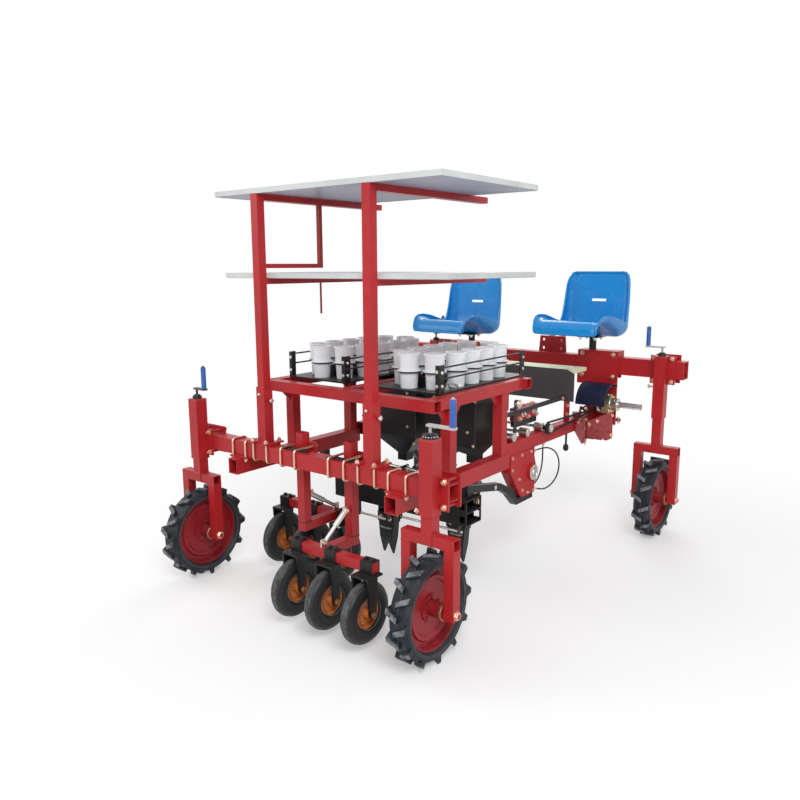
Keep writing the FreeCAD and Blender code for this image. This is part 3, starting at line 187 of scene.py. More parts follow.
class Shader(Nodes):
    """The node tree of one material, with its main surface node."""

    def __init__(self, name: str) -> None:
        """Makes the material and finds its surface node.

        Args:
            name: the material's name.
        """
        self.material = bpy.data.materials.new(name)
        self.material.use_nodes = True
        super().__init__(self.material.node_tree)
        self.surface = self.tree.nodes["Principled BSDF"]
        self.coordinates: Value | None = None

    def place(self) -> Value:
        """The surface's own coordinates in metres, from one node for the whole material.

        Returns:
            The coordinates.
        """
        if self.coordinates is None:
            self.coordinates = self.node("ShaderNodeTexCoord", output="Object")
        return self.coordinates

    def axis(self, letter: str) -> Value:
        """One coordinate of the surface point, by its letter."""
        return self.node("ShaderNodeSeparateXYZ", {}, {0: self.place()}, output=letter.upper())

    def noise(self, scale: float, detail: float = 3.0, rough: float = 0.5,
              stretch: Point | None = None) -> Value:
        """Smooth noise from 0 to 1.

        Args:
            scale: its cells per metre.
            detail: how many finer layers it has.
            rough: how strong they are.
            stretch: how many times finer it is along each axis.

        Returns:
            The noise.
        """
        where = self.place()
        if stretch:
            where = self.node("ShaderNodeMapping", {}, {"Vector": where, "Scale": stretch})
        return self.node("ShaderNodeTexNoise", {}, {"Vector": where, "Scale": scale, "Detail": detail,
                                                    "Roughness": rough})

    def mix(self, factor: Value | float, low: Value | Colour, high: Value | Colour,
            way: str = "MIX") -> Value:
        """A colour between two others.

        Args:
            factor: 0 gives the low colour and 1 the high one.
            low: the first colour.
            high: the second colour.
            way: how they blend.

        Returns:
            The mixed colour.
        """
        return self.node("ShaderNodeMix", {"data_type": "RGBA", "blend_type": way},
                         {0: factor, 6: low, 7: high}, output=2)

    def bump(self, height: Value, distance: float, strength: float = 1.0) -> None:
        """Feeds a height to the surface's normal.

        Args:
            height: the height, from 0 to 1.
            distance: how many metres a height of 1 stands for.
            strength: how strongly it shows.
        """
        self.feed(self.surface.inputs["Normal"],
                  self.node("ShaderNodeBump", {}, {"Height": height, "Distance": distance,
                                                   "Strength": strength}))

    def set(self, **given: "Value | float | Colour") -> None:
        """Sets sockets of the surface node by name, with _ for a space."""
        for key, value in given.items():
            self.feed(self.surface.inputs[key.replace("_", " ")], value)


# ---- finishes
@dataclass(frozen=True)
class Paint:
    """Sprayed paint on steel, with an uneven coat, edge rubs, a film of dust and, where an under colour is
    given, painted shade on the faces that look down.
    """

    name: str
    colour: Colour
    worn: Colour
    rough: float = 0.34
    coat: float = 0.10
    dust: float = 0.04
    edge: float = 0.4
    gloss: float = 0.28
    # painted shade: the colour of faces that look down, darker than the top as if in shadow
    under: Colour | None = None
    patches: tuple[tuple[Callable[[Shader], Value], Colour], ...] = ()

    def make(self) -> bpy.types.Material:
        """Builds the material.

        Returns:
            The material.
        """
        s = Shader(self.name)
        cloud = s.noise(3.1, 4.0, 0.55)
        fine = s.noise(90.0, 3.0, 0.6)
        flat = s.node("ShaderNodeNewGeometry", output="Normal")
        facing = s.node("ShaderNodeSeparateXYZ", {}, {0: flat}, output="Z")
        base: Value | Colour = self.colour
        # painted shade: faces that look down blend to the darker under colour
        if self.under:
            base = s.mix((facing * -1.0).rise(0.4, 0.6), base, self.under)
        for mask, other in self.patches:
            base = s.mix(mask(s), base, other)
        colour = s.mix(cloud.rise(0.3, 0.7) * 0.22, base, (0.0, 0.0, 0.0))
        rounded = s.node("ShaderNodeBevel", {"samples": 3}, {"Radius": 0.0035})
        along = s.node("ShaderNodeVectorMath", {"operation": "DOT_PRODUCT"}, {0: rounded, 1: flat}, output=1)
        rub = (1 - along).rise(0.02, 0.22) * fine.rise(0.42, 0.62) * self.edge
        colour = s.mix(rub, colour, self.worn)
        film = (facing.rise(0.2, 1.0) * 0.7 + 0.3) * s.noise(14.0, 5.0, 0.65).rise(0.35, 0.8) * self.dust
        colour = s.mix(film, colour, (0.62, 0.56, 0.50))
        s.set(Base_Color=colour, Roughness=self.rough + cloud * 0.10 + film * 0.9,
              Coat_Weight=self.coat, Coat_Roughness=0.18, Specular_IOR_Level=self.gloss)
        s.bump(s.noise(240.0, 2.0, 0.5), 0.00025, 0.35)
        return s.material


@dataclass(frozen=True)
class Rubber:
    """Tyre rubber whose sidewall is ribbed and whose tread tops are paler, partly from dust and scuffs and
    partly as a painted highlight.
    """

    name: str
    colour: Colour
    # colour of the tread tops: scuff and dust, with a painted highlight
    scuff: Colour
    axle: Pair = (0.0, 0.0)
    tread: float = 1.0
    rough: float = 0.6
    ribs: float = 0.0

    def make(self) -> bpy.types.Material:
        """Builds the material.

        Returns:
            The material.
        """
        s = Shader(self.name)
        away_y = s.axis("y") - self.axle[0]
        away_z = s.axis("z") - self.axle[1]
        radius = (away_y * away_y + away_z * away_z) ** 0.5
        # paler tread tops: scuff and dust, and partly a painted highlight on the lugs
        worn = (radius / self.tread).rise(0.965, 0.995)
        cloud = s.noise(8.0, 5.0, 0.6)
        patchy = s.noise(45.0, 4.0, 0.7).rise(0.35, 0.75)
        dusty = s.noise(12.0, 5.0, 0.7).rise(0.5, 0.85) * 0.14
        colour = s.mix(cloud.rise(0.3, 0.75), self.colour, tuple(c * 1.6 for c in self.colour))
        colour = s.mix(dusty.larger(worn * (patchy * 0.75 + 0.08)), colour, self.scuff)
        s.set(Base_Color=colour, Roughness=self.rough + worn * 0.2 - cloud * 0.12, Specular_IOR_Level=0.3)
        ring = s.node("ShaderNodeMath", {"operation": "SINE"}, {0: radius * self.ribs}) if self.ribs else 0.0
        s.bump(s.noise(160.0, 4.0, 0.6) + ring * 0.6 * (1 - worn), 0.0006, 0.5)
        return s.material


@dataclass(frozen=True)
class Moulding:
    """Moulded plastic with a fine grain and a soft gloss."""

    name: str
    colour: Colour
    rough: float = 0.32
    grain: float = 380.0
    see_in: float = 0.0
    coat: float = 0.0
    gloss: float = 0.35

    def make(self) -> bpy.types.Material:
        """Builds the material.

        Returns:
            The material.
        """
        s = Shader(self.name)
        cloud = s.noise(5.0, 3.0, 0.5)
        colour = s.mix(cloud.rise(0.3, 0.7), tuple(c * 0.93 for c in self.colour),
                       tuple(min(1.0, c * 1.05) for c in self.colour))
        smudge = s.noise(22.0, 5.0, 0.65).rise(0.5, 0.8)
        s.set(Base_Color=s.mix(smudge * 0.08, colour, (0.55, 0.53, 0.50)),
              Roughness=self.rough + smudge * 0.18, Subsurface_Weight=self.see_in,
              Coat_Weight=self.coat, Coat_Roughness=0.12, Specular_IOR_Level=self.gloss)
        s.bump(s.noise(self.grain, 2.0, 0.5), 0.0002, 0.3)
        return s.material


@dataclass(frozen=True)
class Steel:
    """Bare or plated steel with drawn lines and a few dull patches."""

    name: str
    colour: Colour
    rough: float = 0.28
    grain: Point = (40.0, 400.0, 400.0)
    patches: tuple[tuple[Callable[[Shader], Value], Colour], ...] = ()

    def make(self) -> bpy.types.Material:
        """Builds the material.

        Returns:
            The material.
        """
        s = Shader(self.name)
        lines = s.noise(1.0, 3.0, 0.6, self.grain)
        dull = s.noise(35.0, 4.0, 0.6).rise(0.5, 0.75)
        base: Value | Colour = self.colour
        for mask, other in self.patches:
            base = s.mix(mask(s), base, other)
        colour = s.mix(lines.rise(0.3, 0.7) * 0.18, base, (0.0, 0.0, 0.0))
        s.set(Base_Color=s.mix(dull * 0.2, colour, (0.05, 0.045, 0.04)),
              Roughness=self.rough + dull * 0.25 + lines * 0.08, Metallic=1.0)
        s.bump(lines, 0.0001, 0.3)
        return s.material


Finish = Paint | Rubber | Moulding | Steel


class Coat(Enum):
    """The machine's finishes: the record's slots first, then those of the small fittings."""

    RED_PAINT = Paint("red_paint", (0.44, 0.014, 0.018), (0.24, 0.06, 0.05))
    WHEEL_RED = Paint("wheel_red", (0.30, 0.008, 0.016), (0.16, 0.05, 0.05), rough=0.4, dust=0.10)
    BLACK_PAINT = Paint("black_paint", (0.008, 0.008, 0.009), (0.09, 0.09, 0.09), rough=0.36)
    GREY_PAINT = Paint("grey_paint", (0.060, 0.054, 0.058), (0.18, 0.18, 0.18), rough=0.42, dust=0.08)
    ORANGE_PAINT = Paint("orange_paint", (0.68, 0.20, 0.03), (0.30, 0.10, 0.04), rough=0.38, dust=0.16)
    # the tyres' pale tread tops are scuff and dust, and partly a painted highlight
    FARM_TYRE = Rubber("farm_tyre", (0.010, 0.012, 0.016), (0.36, 0.37, 0.40))
    PRESS_TYRE = Rubber("press_tyre", (0.012, 0.013, 0.014), (0.16, 0.165, 0.165), rough=0.5, ribs=900.0)
    CUP_PLASTIC = Moulding("cup_plastic", (0.88, 0.88, 0.90), see_in=0.15)
    SEAT_PLASTIC = Moulding("seat_plastic", (0.0, 0.225, 0.58), rough=0.24, coat=0.12)
    # the shelves' under colour is painted shade on their downward faces
    SHELF_SHEET = Paint("shelf_sheet", (0.60, 0.62, 0.62), (0.45, 0.44, 0.42), rough=0.4, dust=0.12,
                        under=(0.36, 0.36, 0.46))
    GRIP_PLASTIC = Moulding("grip_plastic", (0.03, 0.11, 0.38), rough=0.28)
    BRIGHT_STEEL = Steel("bright_steel", (0.72, 0.70, 0.66))
    BOARD = Moulding("board", (0.62, 0.64, 0.42), rough=0.5)
    HOSE_RUBBER = Moulding("hose_rubber", (0.010, 0.011, 0.013), rough=0.42)
    COPPER_ZINC = Steel("copper_zinc", (0.86, 0.60, 0.44), rough=0.30)
    ZINC = Steel("zinc", (0.80, 0.79, 0.76), rough=0.26)
    YELLOW_ZINC = Steel("yellow_zinc", (0.62, 0.56, 0.30), rough=0.34)
    RUSTED = Steel("rusted", (0.42, 0.20, 0.11), rough=0.5)
    OIL_BLACK = Steel("oil_black", (0.07, 0.07, 0.08), rough=0.42)
    KNOB = Moulding("knob", (0.012, 0.012, 0.014), rough=0.38)
    MOULD_LINE = Moulding("mould_line", (0.09, 0.095, 0.10), rough=0.7)


@functools.cache
def material_of(finish: Finish) -> bpy.types.Material:
    """The material of a finish, made once."""
    return finish.make()


# ---- places read from the frame
@dataclass(frozen=True)
class Span:
    """The box of one solid, in metres."""

    low: Vector
    high: Vector

    @property
    def middle(self) -> Vector:
        """The box's middle."""
        return (self.low + self.high) / 2

    @property
    def size(self) -> Vector:
        """The box's sides."""
        return self.high - self.low


@functools.cache
def span(node: str) -> Span:
    """The box of a whole node."""
    low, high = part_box(node)
    return Span(Vector(low), Vector(high))


@functools.cache
def solids(node: str) -> list[Span]:
    """The boxes of a node's solids, from left to right and then from rear to front.

    Args:
        node: the node's name.

    Returns:
        One box for each solid that stands apart.
    """
    mesh = bmesh.new()
    mesh.from_mesh(frame["nodes"][node].data)
    bmesh.ops.remove_doubles(mesh, verts=mesh.verts, dist=1e-6)
    left = set(mesh.verts)
    found = []
    while left:
        stack = [left.pop()]
        island = []
        while stack:
            vert = stack.pop()
            island.append(vert.co.copy())
            for edge in vert.link_edges:
                other = edge.other_vert(vert)
                if other in left:
                    left.remove(other)
                    stack.append(other)
        found.append(Span(Vector(map(min, zip(*island))), Vector(map(max, zip(*island)))))
    mesh.free()
    return sorted(found, key=lambda box: (round(box.middle.x, 3), round(box.middle.y, 3)))


def joint_place(name: str) -> Vector:
    """The place of a joint, by its name."""
    joints = frame["record"]["behaviour"]["joints"]
    return next(Vector(joint["pos_m"]) for joint in joints if joint["name"] == name)


# ---- shapes
def sideways(axis: Vector) -> tuple[Vector, Vector]:
    """Two directions across an axis, at right angles to each other.

    Args:
        axis: the axis's direction.

    Returns:
        Both directions.
    """
    first = axis.orthogonal().normalized() if abs(axis.z) < 0.9 else ACROSS.copy()
    first = (first - axis * first.dot(axis)).normalized()
    return first, axis.cross(first)


def turns(count: int, shift: float = 0.0) -> list[float]:
    """The angles of equal steps round a full turn, from a share of a step on."""
    return [2 * math.pi * (k + shift) / count for k in range(count)]


def around(angle: float) -> Vector:
    """The way out from a level axle at an angle."""
    return Vector((0, math.cos(angle), math.sin(angle)))


def round_bead(radius: float, size: float, sides: int = 6, thick: float | None = None) -> Profile:
    """The closed profile of a bead that runs round an axis.

    Args:
        radius: how far from the axis it runs.
        size: half its width along the axis.
        sides: its sides.
        thick: half its thickness away from the axis, where that isn't its size.

    Returns:
        The (along, radius) points.
    """
    high = size if thick is None else thick
    return [(size * math.cos(a), radius + high * math.sin(a)) for a in turns(sides)]


def bent(corners: list[Vector], radius: float, steps: int = 5) -> list[Vector]:
    """The line of a bar that is bent round corners.

    Args:
        corners: the path's ends and its corners.
        radius: how far from a corner its bend starts.
        steps: the pieces of each bend.

    Returns:
        The path's points.
    """
    path = [corners[0]]
    for before, corner, after in zip(corners, corners[1:], corners[2:]):
        start = corner + (before - corner).normalized() * radius
        end = corner + (after - corner).normalized() * radius
        for k in range(steps + 1):
            share = k / steps
            path.append(start * (1 - share) ** 2 + corner * 2 * share * (1 - share) + end * share ** 2)
    return path + [corners[-1]]


def flowing(points: list[Vector], steps: int) -> list[Vector]:
    """A closed smooth line through points.

    Args:
        points: the points in order.
        steps: the pieces between two of them.

    Returns:
        The line's points.
    """
    line = []
    count = len(points)
    for k in range(count):
        a, b, c, d = (points[(k + j) % count] for j in (-1, 0, 1, 2))
        for j in range(steps):
            t = j / steps
            line.append(0.5 * (2 * b + (c - a) * t + (2 * a - 5 * b + 4 * c - d) * t ** 2
                               + (3 * b - a - 3 * c + d) * t ** 3))
    return line


class Shaper:
    """Gathers turned, bent and cut shapes into one mesh."""

    def __init__(self) -> None:
        """Starts an empty mesh."""
        self.mesh = bmesh.new()

    def skin(self, rings: list[list[bmesh.types.BMVert]], closed: bool = False) -> None:
        """Joins rings of as many points each with faces, or a ring with a single point.

        Args:
            rings: the rings in order.
            closed: whether the last ring joins the first.
        """
        pairs = list(zip(rings, rings[1:])) + ([(rings[-1], rings[0])] if closed else [])
        for one, two in pairs:
            count = max(len(one), len(two))
            for k in range(count):
                corners = [one[k % len(one)], one[(k + 1) % len(one)],
                           two[(k + 1) % len(two)], two[k % len(two)]]
                unique = list(dict.fromkeys(corners))
                if len(unique) > 2:
                    self.mesh.faces.new(unique)

    def lathe(self, at: Vector, axis: Vector, profile: Profile, sides: int = 20, closed: bool = False,
              turn: float = 0.0) -> None:
        """Turns a profile about an axis.

        Args:
            at: the axis's start.
            axis: its direction.
            profile: the (along, radius) points.
            sides: how many sides the turned shape has.
            closed: whether the profile closes into a ring.
            turn: the angle of its first side.
        """
        first, second = sideways(axis)
        rings = []
        for along, radius in profile:
            middle = at + axis * along
            if radius < 1e-7:
                rings.append([self.mesh.verts.new(middle)])
                continue
            rings.append([self.mesh.verts.new(middle + (first * math.cos(a) + second * math.sin(a)) * radius)
                          for a in (turn + angle for angle in turns(sides))])
        self.skin(rings, closed)

    def sweep(self, path: list[Vector], radius: float, sides: int = 8, closed: bool = False,
              ripple: float = 0.0) -> None:
        """Runs a round section along a path.

        Args:
            path: the path's points.
            radius: the section's radius.
            sides: the section's sides.
            closed: whether the path closes.
            ripple: the share by which the radius swells and shrinks, as on a weld.
        """
        rings = []
        count = len(path)
        across: Vector | None = None
        for k, point in enumerate(path):
            before = path[k - 1] if k or closed else point
            after = path[(k + 1) % count] if k + 1 < count or closed else point
            along = (after - before).normalized()
            if across is None:
                across = sideways(along)[0]
            across = (across - along * across.dot(along)).normalized()
            other = along.cross(across)
            here = radius * (1 + ripple * math.sin(k * 2.3) + ripple * 0.5 * math.sin(k * 0.9 + 1.0))
            rings.append([self.mesh.verts.new(point + (across * math.cos(a) + other * math.sin(a)) * here)
                          for a in turns(sides)])
        if not closed:
            rings = [[self.mesh.verts.new(path[0])]] + rings + [[self.mesh.verts.new(path[-1])]]
        self.skin(rings, closed)

    def slab(self, low: Vector, high: Vector, edge: float = 0.0008) -> None:
        """Adds a flat block whose edges are broken.

        Args:
            low: its lowest corner.
            high: its highest corner.
            edge: how much its edges are cut back.
        """
        corners = [Vector((x, y, z)) for z in (low.z, high.z) for x, y in
                   ((low.x, low.y), (high.x, low.y), (high.x, high.y), (low.x, high.y))]
        verts = [self.mesh.verts.new(corner) for corner in corners]
        faces = [(3, 2, 1, 0), (4, 5, 6, 7), (0, 1, 5, 4), (1, 2, 6, 5), (2, 3, 7, 6), (3, 0, 4, 7)]
        made = [self.mesh.faces.new([verts[k] for k in face]) for face in faces]
        edges = list({line for face in made for line in face.edges})
        bmesh.ops.bevel(self.mesh, geom=edges, offset=edge, segments=1, affect="EDGES")

    def panel(self, outline: list[Vector], depth: Vector) -> None:
        """Adds a plate.

        Args:
            outline: the corners of its near face.
            depth: the vector from there to its far face.
        """
        near = [self.mesh.verts.new(point) for point in outline]
        far = [self.mesh.verts.new(point + depth) for point in outline]
        self.mesh.faces.new(near)
        self.mesh.faces.new(list(reversed(far)))
        self.skin([near, far])

    def make(self, name: str, coat: Coat, body: str = "root", slot: str | None = None,
             smooth: float = 38.0) -> None:
        """Turns what was gathered into a piece.

        Args:
            name: the piece's name.
            coat: its finish.
            body: the body that it rides on.
            slot: the record's slot that the piece goes with; not used.
            smooth: the largest angle in degrees that is shaded smooth.
        """
        bmesh.ops.recalc_face_normals(self.mesh, faces=self.mesh.faces)
        data = bpy.data.meshes.new(name)
        self.mesh.to_mesh(data)
        self.mesh.free()
        data.shade_smooth()
        data.set_sharp_from_angle(angle=math.radians(smooth))
        data.materials.append(material_of(coat.value))
        piece = bpy.data.objects.new(name, data)
        bpy.context.scene.collection.objects.link(piece)
        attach(piece, body)
        log.info("%s: %d faces on %s", name, len(data.polygons), body)


@dataclass(frozen=True)
class Hexagon:
    """A hexagon bolt head or nut with its washer and its thread's end."""

    flats: float
    height: float
    washer: float = 0.0
    thread: float = 0.0
    washer_thick: float = 0.002

    def put(self, shaper: Shaper, at: Vector, axis: Vector, turn: float = 0.3) -> None:
        """Adds one that stands on a point.

        Args:
            shaper: gathers it.
            at: the middle of its seat.
            axis: the way it points.
            turn: how far it is turned.
        """
        start = 0.0
        if self.washer:
            start = self.washer_thick
            shaper.lathe(at, axis, [(0, 0), (0, self.washer), (start, self.washer), (start, 0)], 16)
        corner = self.flats / math.sqrt(3)
        top = start + self.height
        shaper.lathe(at, axis, [(start, 0), (start, corner), (top - self.flats * 0.08, corner),
                                (top, corner * 0.86), (top, 0)], 6, turn=turn)
        if self.thread:
            bar = self.flats * 0.3
            end = top + self.thread
            shaper.lathe(at, axis, [(top - 0.001, 0), (top - 0.001, bar), (end - 0.001, bar),
                                    (end, bar * 0.8), (end, 0)], 10)


SMALL = Hexagon(0.010, 0.005, 0.008)
MEDIUM = Hexagon(0.016, 0.008, 0.0125)
STOUT = Hexagon(0.019, 0.010, 0.0135, 0.006)
LARGE = Hexagon(0.030, 0.0098, 0.019)
WELD_STEP = 0.0045
WELD_RIPPLE = 0.16


def weld(shaper: Shaper, middle: Vector, axis: Vector, width: float, depth: float,
         size: float = 0.0028) -> None:
    """Adds a weld bead round a square tube's foot.

    Args:
        shaper: gathers it.
        middle: the middle of the joint.
        axis: the tube's direction.
        width: the tube's side across the machine, or along it where the tube lies across.
        depth: its other side.
        size: the bead's radius.
    """
    first = AHEAD if abs(axis.x) > 0.9 else ACROSS
    second = UP if abs(axis.z) < 0.9 else AHEAD
    corners = [middle + first * (width / 2 * a) + second * (depth / 2 * b)
               for a, b in ((-1, -1), (1, -1), (1, 1), (-1, 1))]
    path = []
    for start, end in zip(corners, corners[1:] + corners[:1]):
        steps = max(4, round((end - start).length / WELD_STEP))
        path += [start.lerp(end, k / steps) for k in range(steps)]
    shaper.sweep(path, size, 6, closed=True, ripple=WELD_RIPPLE)


# ---- dressing of the carried-over pieces
@dataclass
class Dressing:
    """Gives each carried-over piece its slot's finish, or one of its own."""

    guard_over: float = 0.02
    guard_blue: Colour = (0.008, 0.011, 0.042)
    bearing_red: Colour = (0.38, 0.012, 0.016)
    jack_cap: float = 0.0584
    jack_ring: float = 0.0735
    ring_black: Colour = (0.010, 0.010, 0.011)
    crank_pale: Colour = (0.50, 0.49, 0.46)
    crank_worn: Colour = (0.3, 0.29, 0.27)
    crank_dark: Colour = (0.035, 0.034, 0.034)

    def special(self) -> dict[str, Finish]:
        """The finishes of the pieces that need one of their own.

        Returns:
            The finishes by node.
        """
        found: dict[str, Finish] = {}
        for node in frame["nodes"]:
            for start, coat in (("wheel_tyre_", Coat.FARM_TYRE), ("press_tyre_", Coat.PRESS_TYRE)):
                if node.startswith(start):
                    box = span(node)
                    found[node] = replace(coat.value, name=node, axle=(box.middle.y, box.middle.z),
                                          tread=box.size.z / 2)
        edge = solids("rear_screen")[-1].low.y - self.guard_over
        found["rear_screen"] = replace(Coat.GREY_PAINT.value, name="screen_and_guard", dust=0.04,
                                       patches=((lambda s: s.axis("y").above(edge), self.guard_blue),))
        plate_top = min(box.high.z for box in solids("shaft_bearing")) + 0.0001
        found["shaft_bearing"] = Steel("bearing", self.bearing_red, rough=0.36, patches=(
            (lambda s: s.axis("z").above(plate_top), Coat.YELLOW_ZINC.value.colour),))
        screws = sorted(box.low.z for box in solids("jack_cranks"))
        found["jack_cranks"] = self.jack(screws[0], screws[-1])
        return found

    def jack(self, rear: float, front: float) -> Finish:
        """The finish of the screw jacks: a red cap, a black ring, and a crank that is dark on the left.

        Args:
            rear: the lowest point of a rear jack's screw.
            front: that of a front one.

        Returns:
            The finish.
        """
        def over(s: Shader) -> Value:
            """The height above the screw's lowest point."""
            return s.axis("z") - s.axis("y").above(0.0) * (front - rear) - rear

        return Paint("jacks", self.crank_pale, self.crank_worn, rough=0.3, gloss=0.5, patches=(
            (lambda s: 1 - s.axis("x").above(0.0), self.crank_dark),
            (lambda s: 1 - over(s).above(self.jack_ring), self.ring_black),
            (lambda s: 1 - over(s).above(self.jack_cap), Coat.RED_PAINT.value.colour)))

    def dress(self) -> None:
        """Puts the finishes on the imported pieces."""
        slots = {part["node"]: part["material_slot"] for part in frame["record"]["subparts"]}
        special = self.special()
        for name, piece in frame["nodes"].items():
            finish = special.get(name, Coat[slots[name].upper()].value)
            piece.data.materials.clear()
            piece.data.materials.append(material_of(finish))
            log.info("%s: %s", name, finish.name)


# ---- hoses
@dataclass
class Hoses:
    """The two free hoses at the drive case, and their crimped ends."""

    bore: float = 0.008
    outer: tuple[Point, ...] = (
        (0.464, 0.237, 0.5801), (0.472, 0.298, 0.5841), (0.486, 0.366, 0.5761), (0.500, 0.424, 0.5401),
        (0.506, 0.452, 0.4781), (0.504, 0.438, 0.4121), (0.494, 0.386, 0.3660), (0.478, 0.310, 0.3510),
        (0.464, 0.244, 0.3780))
    inner: tuple[Point, ...] = (
        (0.440, 0.380, 0.5837), (0.440, 0.380, 0.5300), (0.441, 0.375, 0.4740), (0.441, 0.350, 0.4200),
        (0.441, 0.301, 0.3840), (0.440, 0.244, 0.3780))
    outer_long: float = 0.546
    inner_long: float = 0.284
    gland: Hexagon = Hexagon(0.019, 0.008)
    gland_deep: float = 0.010

    def run(self, name: str, node: str, route: tuple[Point, ...], length: float) -> None:
        """Lays one hose.

        Args:
            name: the piece's name.
            node: the solid that it stands for.
            route: its control points.
            length: its length.
        """
        curve = bpy.data.curves.new(name, "CURVE")
        curve.dimensions = "3D"
        line = curve.splines.new("NURBS")
        line.points.add(len(route) - 1)
        for point, place in zip(line.points, route):
            point.co = (*place, 1.0)
        line.order_u = 3
        line.use_endpoint_u = True
        line.resolution_u = 12
        curve.bevel_depth = self.bore / 2
        curve.bevel_resolution = 4
        curve.use_fill_caps = True
        curve.materials.append(material_of(Coat.HOSE_RUBBER.value))
        piece = bpy.data.objects.new(name, curve)
        bpy.context.scene.collection.objects.link(piece)
        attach(piece, "root")
        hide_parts(node)
        log.info("%s: %.3f m", name, length)

    def crimps(self) -> None:
        """Adds the crimped sleeves at the hoses' ends."""
        shaper = Shaper()
        for route in (self.outer, self.inner):
            for end, after in ((route[0], route[1]), (route[-1], route[-2])):
                start = Vector(end)
                axis = (Vector(after) - start).normalized()
                inside = self.bore * 0.52
                wide = self.bore * 0.78
                neck = wide * 0.86
                shaper.lathe(start, axis, [(0.0002, inside), (0.0002, wide), (0.006, wide), (0.008, neck),
                                           (0.018, neck), (0.020, inside)], 18)
                self.gland.put(shaper, start - axis * self.gland_deep, axis)
        shaper.make("hose_crimps", Coat.ZINC, slot="bright_steel")

    def build(self) -> None:
        """Builds both hoses."""
        self.run("hose_outer_run", "hose_outer", self.outer, self.outer_long)
        self.run("hose_inner_run", "hose_inner", self.inner, self.inner_long)
        self.crimps()


# ---- clamps on the rear toolbar
class Wrap(Enum):
    """The way that a clamp goes round the toolbar."""

    OVER = "over the top"
    UNDER = "under the bottom"
    ROUND = "round the rear face"


@dataclass
class ToolbarClamps:
    """Pairs of square U bolts, with their plates, nuts and flat bars."""

    bolt: float = 0.011
    apart: float = 0.090
    bend: float = 0.014
    plate: float = 0.008
    plate_half: float = 0.016
    post_foot: float = 0.008
    tail: float = 0.016
    nut: Hexagon = Hexagon(0.018, 0.009, 0.012)
    flat_half: float = 0.085
    flat_rear: float = 0.012
    flat_front: float = 0.022
    flat_thick: float = 0.005

    def pair(self, bolts: Shaper, plates: Shaper, x: float, wrap: Wrap, seat: float) -> None:
        """Adds one pair.

        Args:
            bolts: gathers the bolts and nuts.
            plates: gathers the plates.
            x: the middle of the pair.
            wrap: the way that it goes round.
            seat: the far face of what it holds, which its plate or nuts rest on.
        """
        bar = span("rear_toolbar")
        r = self.bolt / 2
        low_y, high_y = bar.low.y - r, bar.high.y + r
        low_z, high_z = bar.low.z - r, bar.high.z + r
        if wrap is Wrap.ROUND:
            high_z += self.flat_thick
        ways = {
            Wrap.OVER: ([(low_y, seat), (low_y, high_z), (high_y, high_z), (high_y, seat)], UP * -1),
            Wrap.UNDER: ([(low_y, seat), (low_y, low_z), (high_y, low_z), (high_y, seat)], UP),
            Wrap.ROUND: ([(seat, low_z), (low_y, low_z), (low_y, high_z), (seat, high_z)], AHEAD)}
        corners, way = ways[wrap]
        half = self.plate_half
        for side in (-1, 1):
            at_x = x + side * self.apart / 2
            path = [Vector((at_x, y, z)) for y, z in corners]
            path[0] += way * self.tail
            path[-1] += way * self.tail
            bolts.sweep(bent(path, self.bend), r, 10)
            for y, z in (corners[0], corners[-1]):
                self.nut.put(bolts, Vector((at_x, y, z)), way, 0.2 * side)
            if wrap is Wrap.UNDER:
                plates.slab(Vector((at_x - half, low_y - half, seat - self.plate)),
                            Vector((at_x + half, high_y + half, seat)))
        if wrap is Wrap.ROUND:
            reach = self.apart / 2 + half
            plates.slab(Vector((x - reach, seat - self.plate, low_z - half)),
                        Vector((x + reach, seat, high_z + half)))

    def build(self) -> None:
        """Builds the six pairs, and the flat bars under those that go round the toolbar."""
        bolts, plates, bars = Shaper(), Shaper(), Shaper()
        for node in ("chassis_beam_left", "chassis_beam_right"):
            beam = span(node)
            self.pair(bolts, plates, beam.middle.x, Wrap.OVER, beam.high.z - self.plate)
        for node in ("rack_post_left", "rack_post_right"):
            post = span(node)
            self.pair(bolts, plates, post.middle.x, Wrap.UNDER, post.low.z + self.post_foot + self.plate)
        bar = span("rear_toolbar")
        for post in solids("press_posts"):
            self.pair(bolts, plates, post.middle.x, Wrap.ROUND, post.high.y + self.plate)
            x = post.middle.x
            bars.slab(Vector((x - self.flat_half, bar.middle.y - self.flat_rear, bar.high.z)),
                      Vector((x + self.flat_half, bar.middle.y + self.flat_front,
                              bar.high.z + self.flat_thick)))
        bolts.make("toolbar_u_bolts", Coat.COPPER_ZINC)
        plates.make("toolbar_clamp_plates", Coat.RED_PAINT, slot="red_paint")
        bars.make("toolbar_flat_bars", Coat.BLACK_PAINT, slot="black_paint")


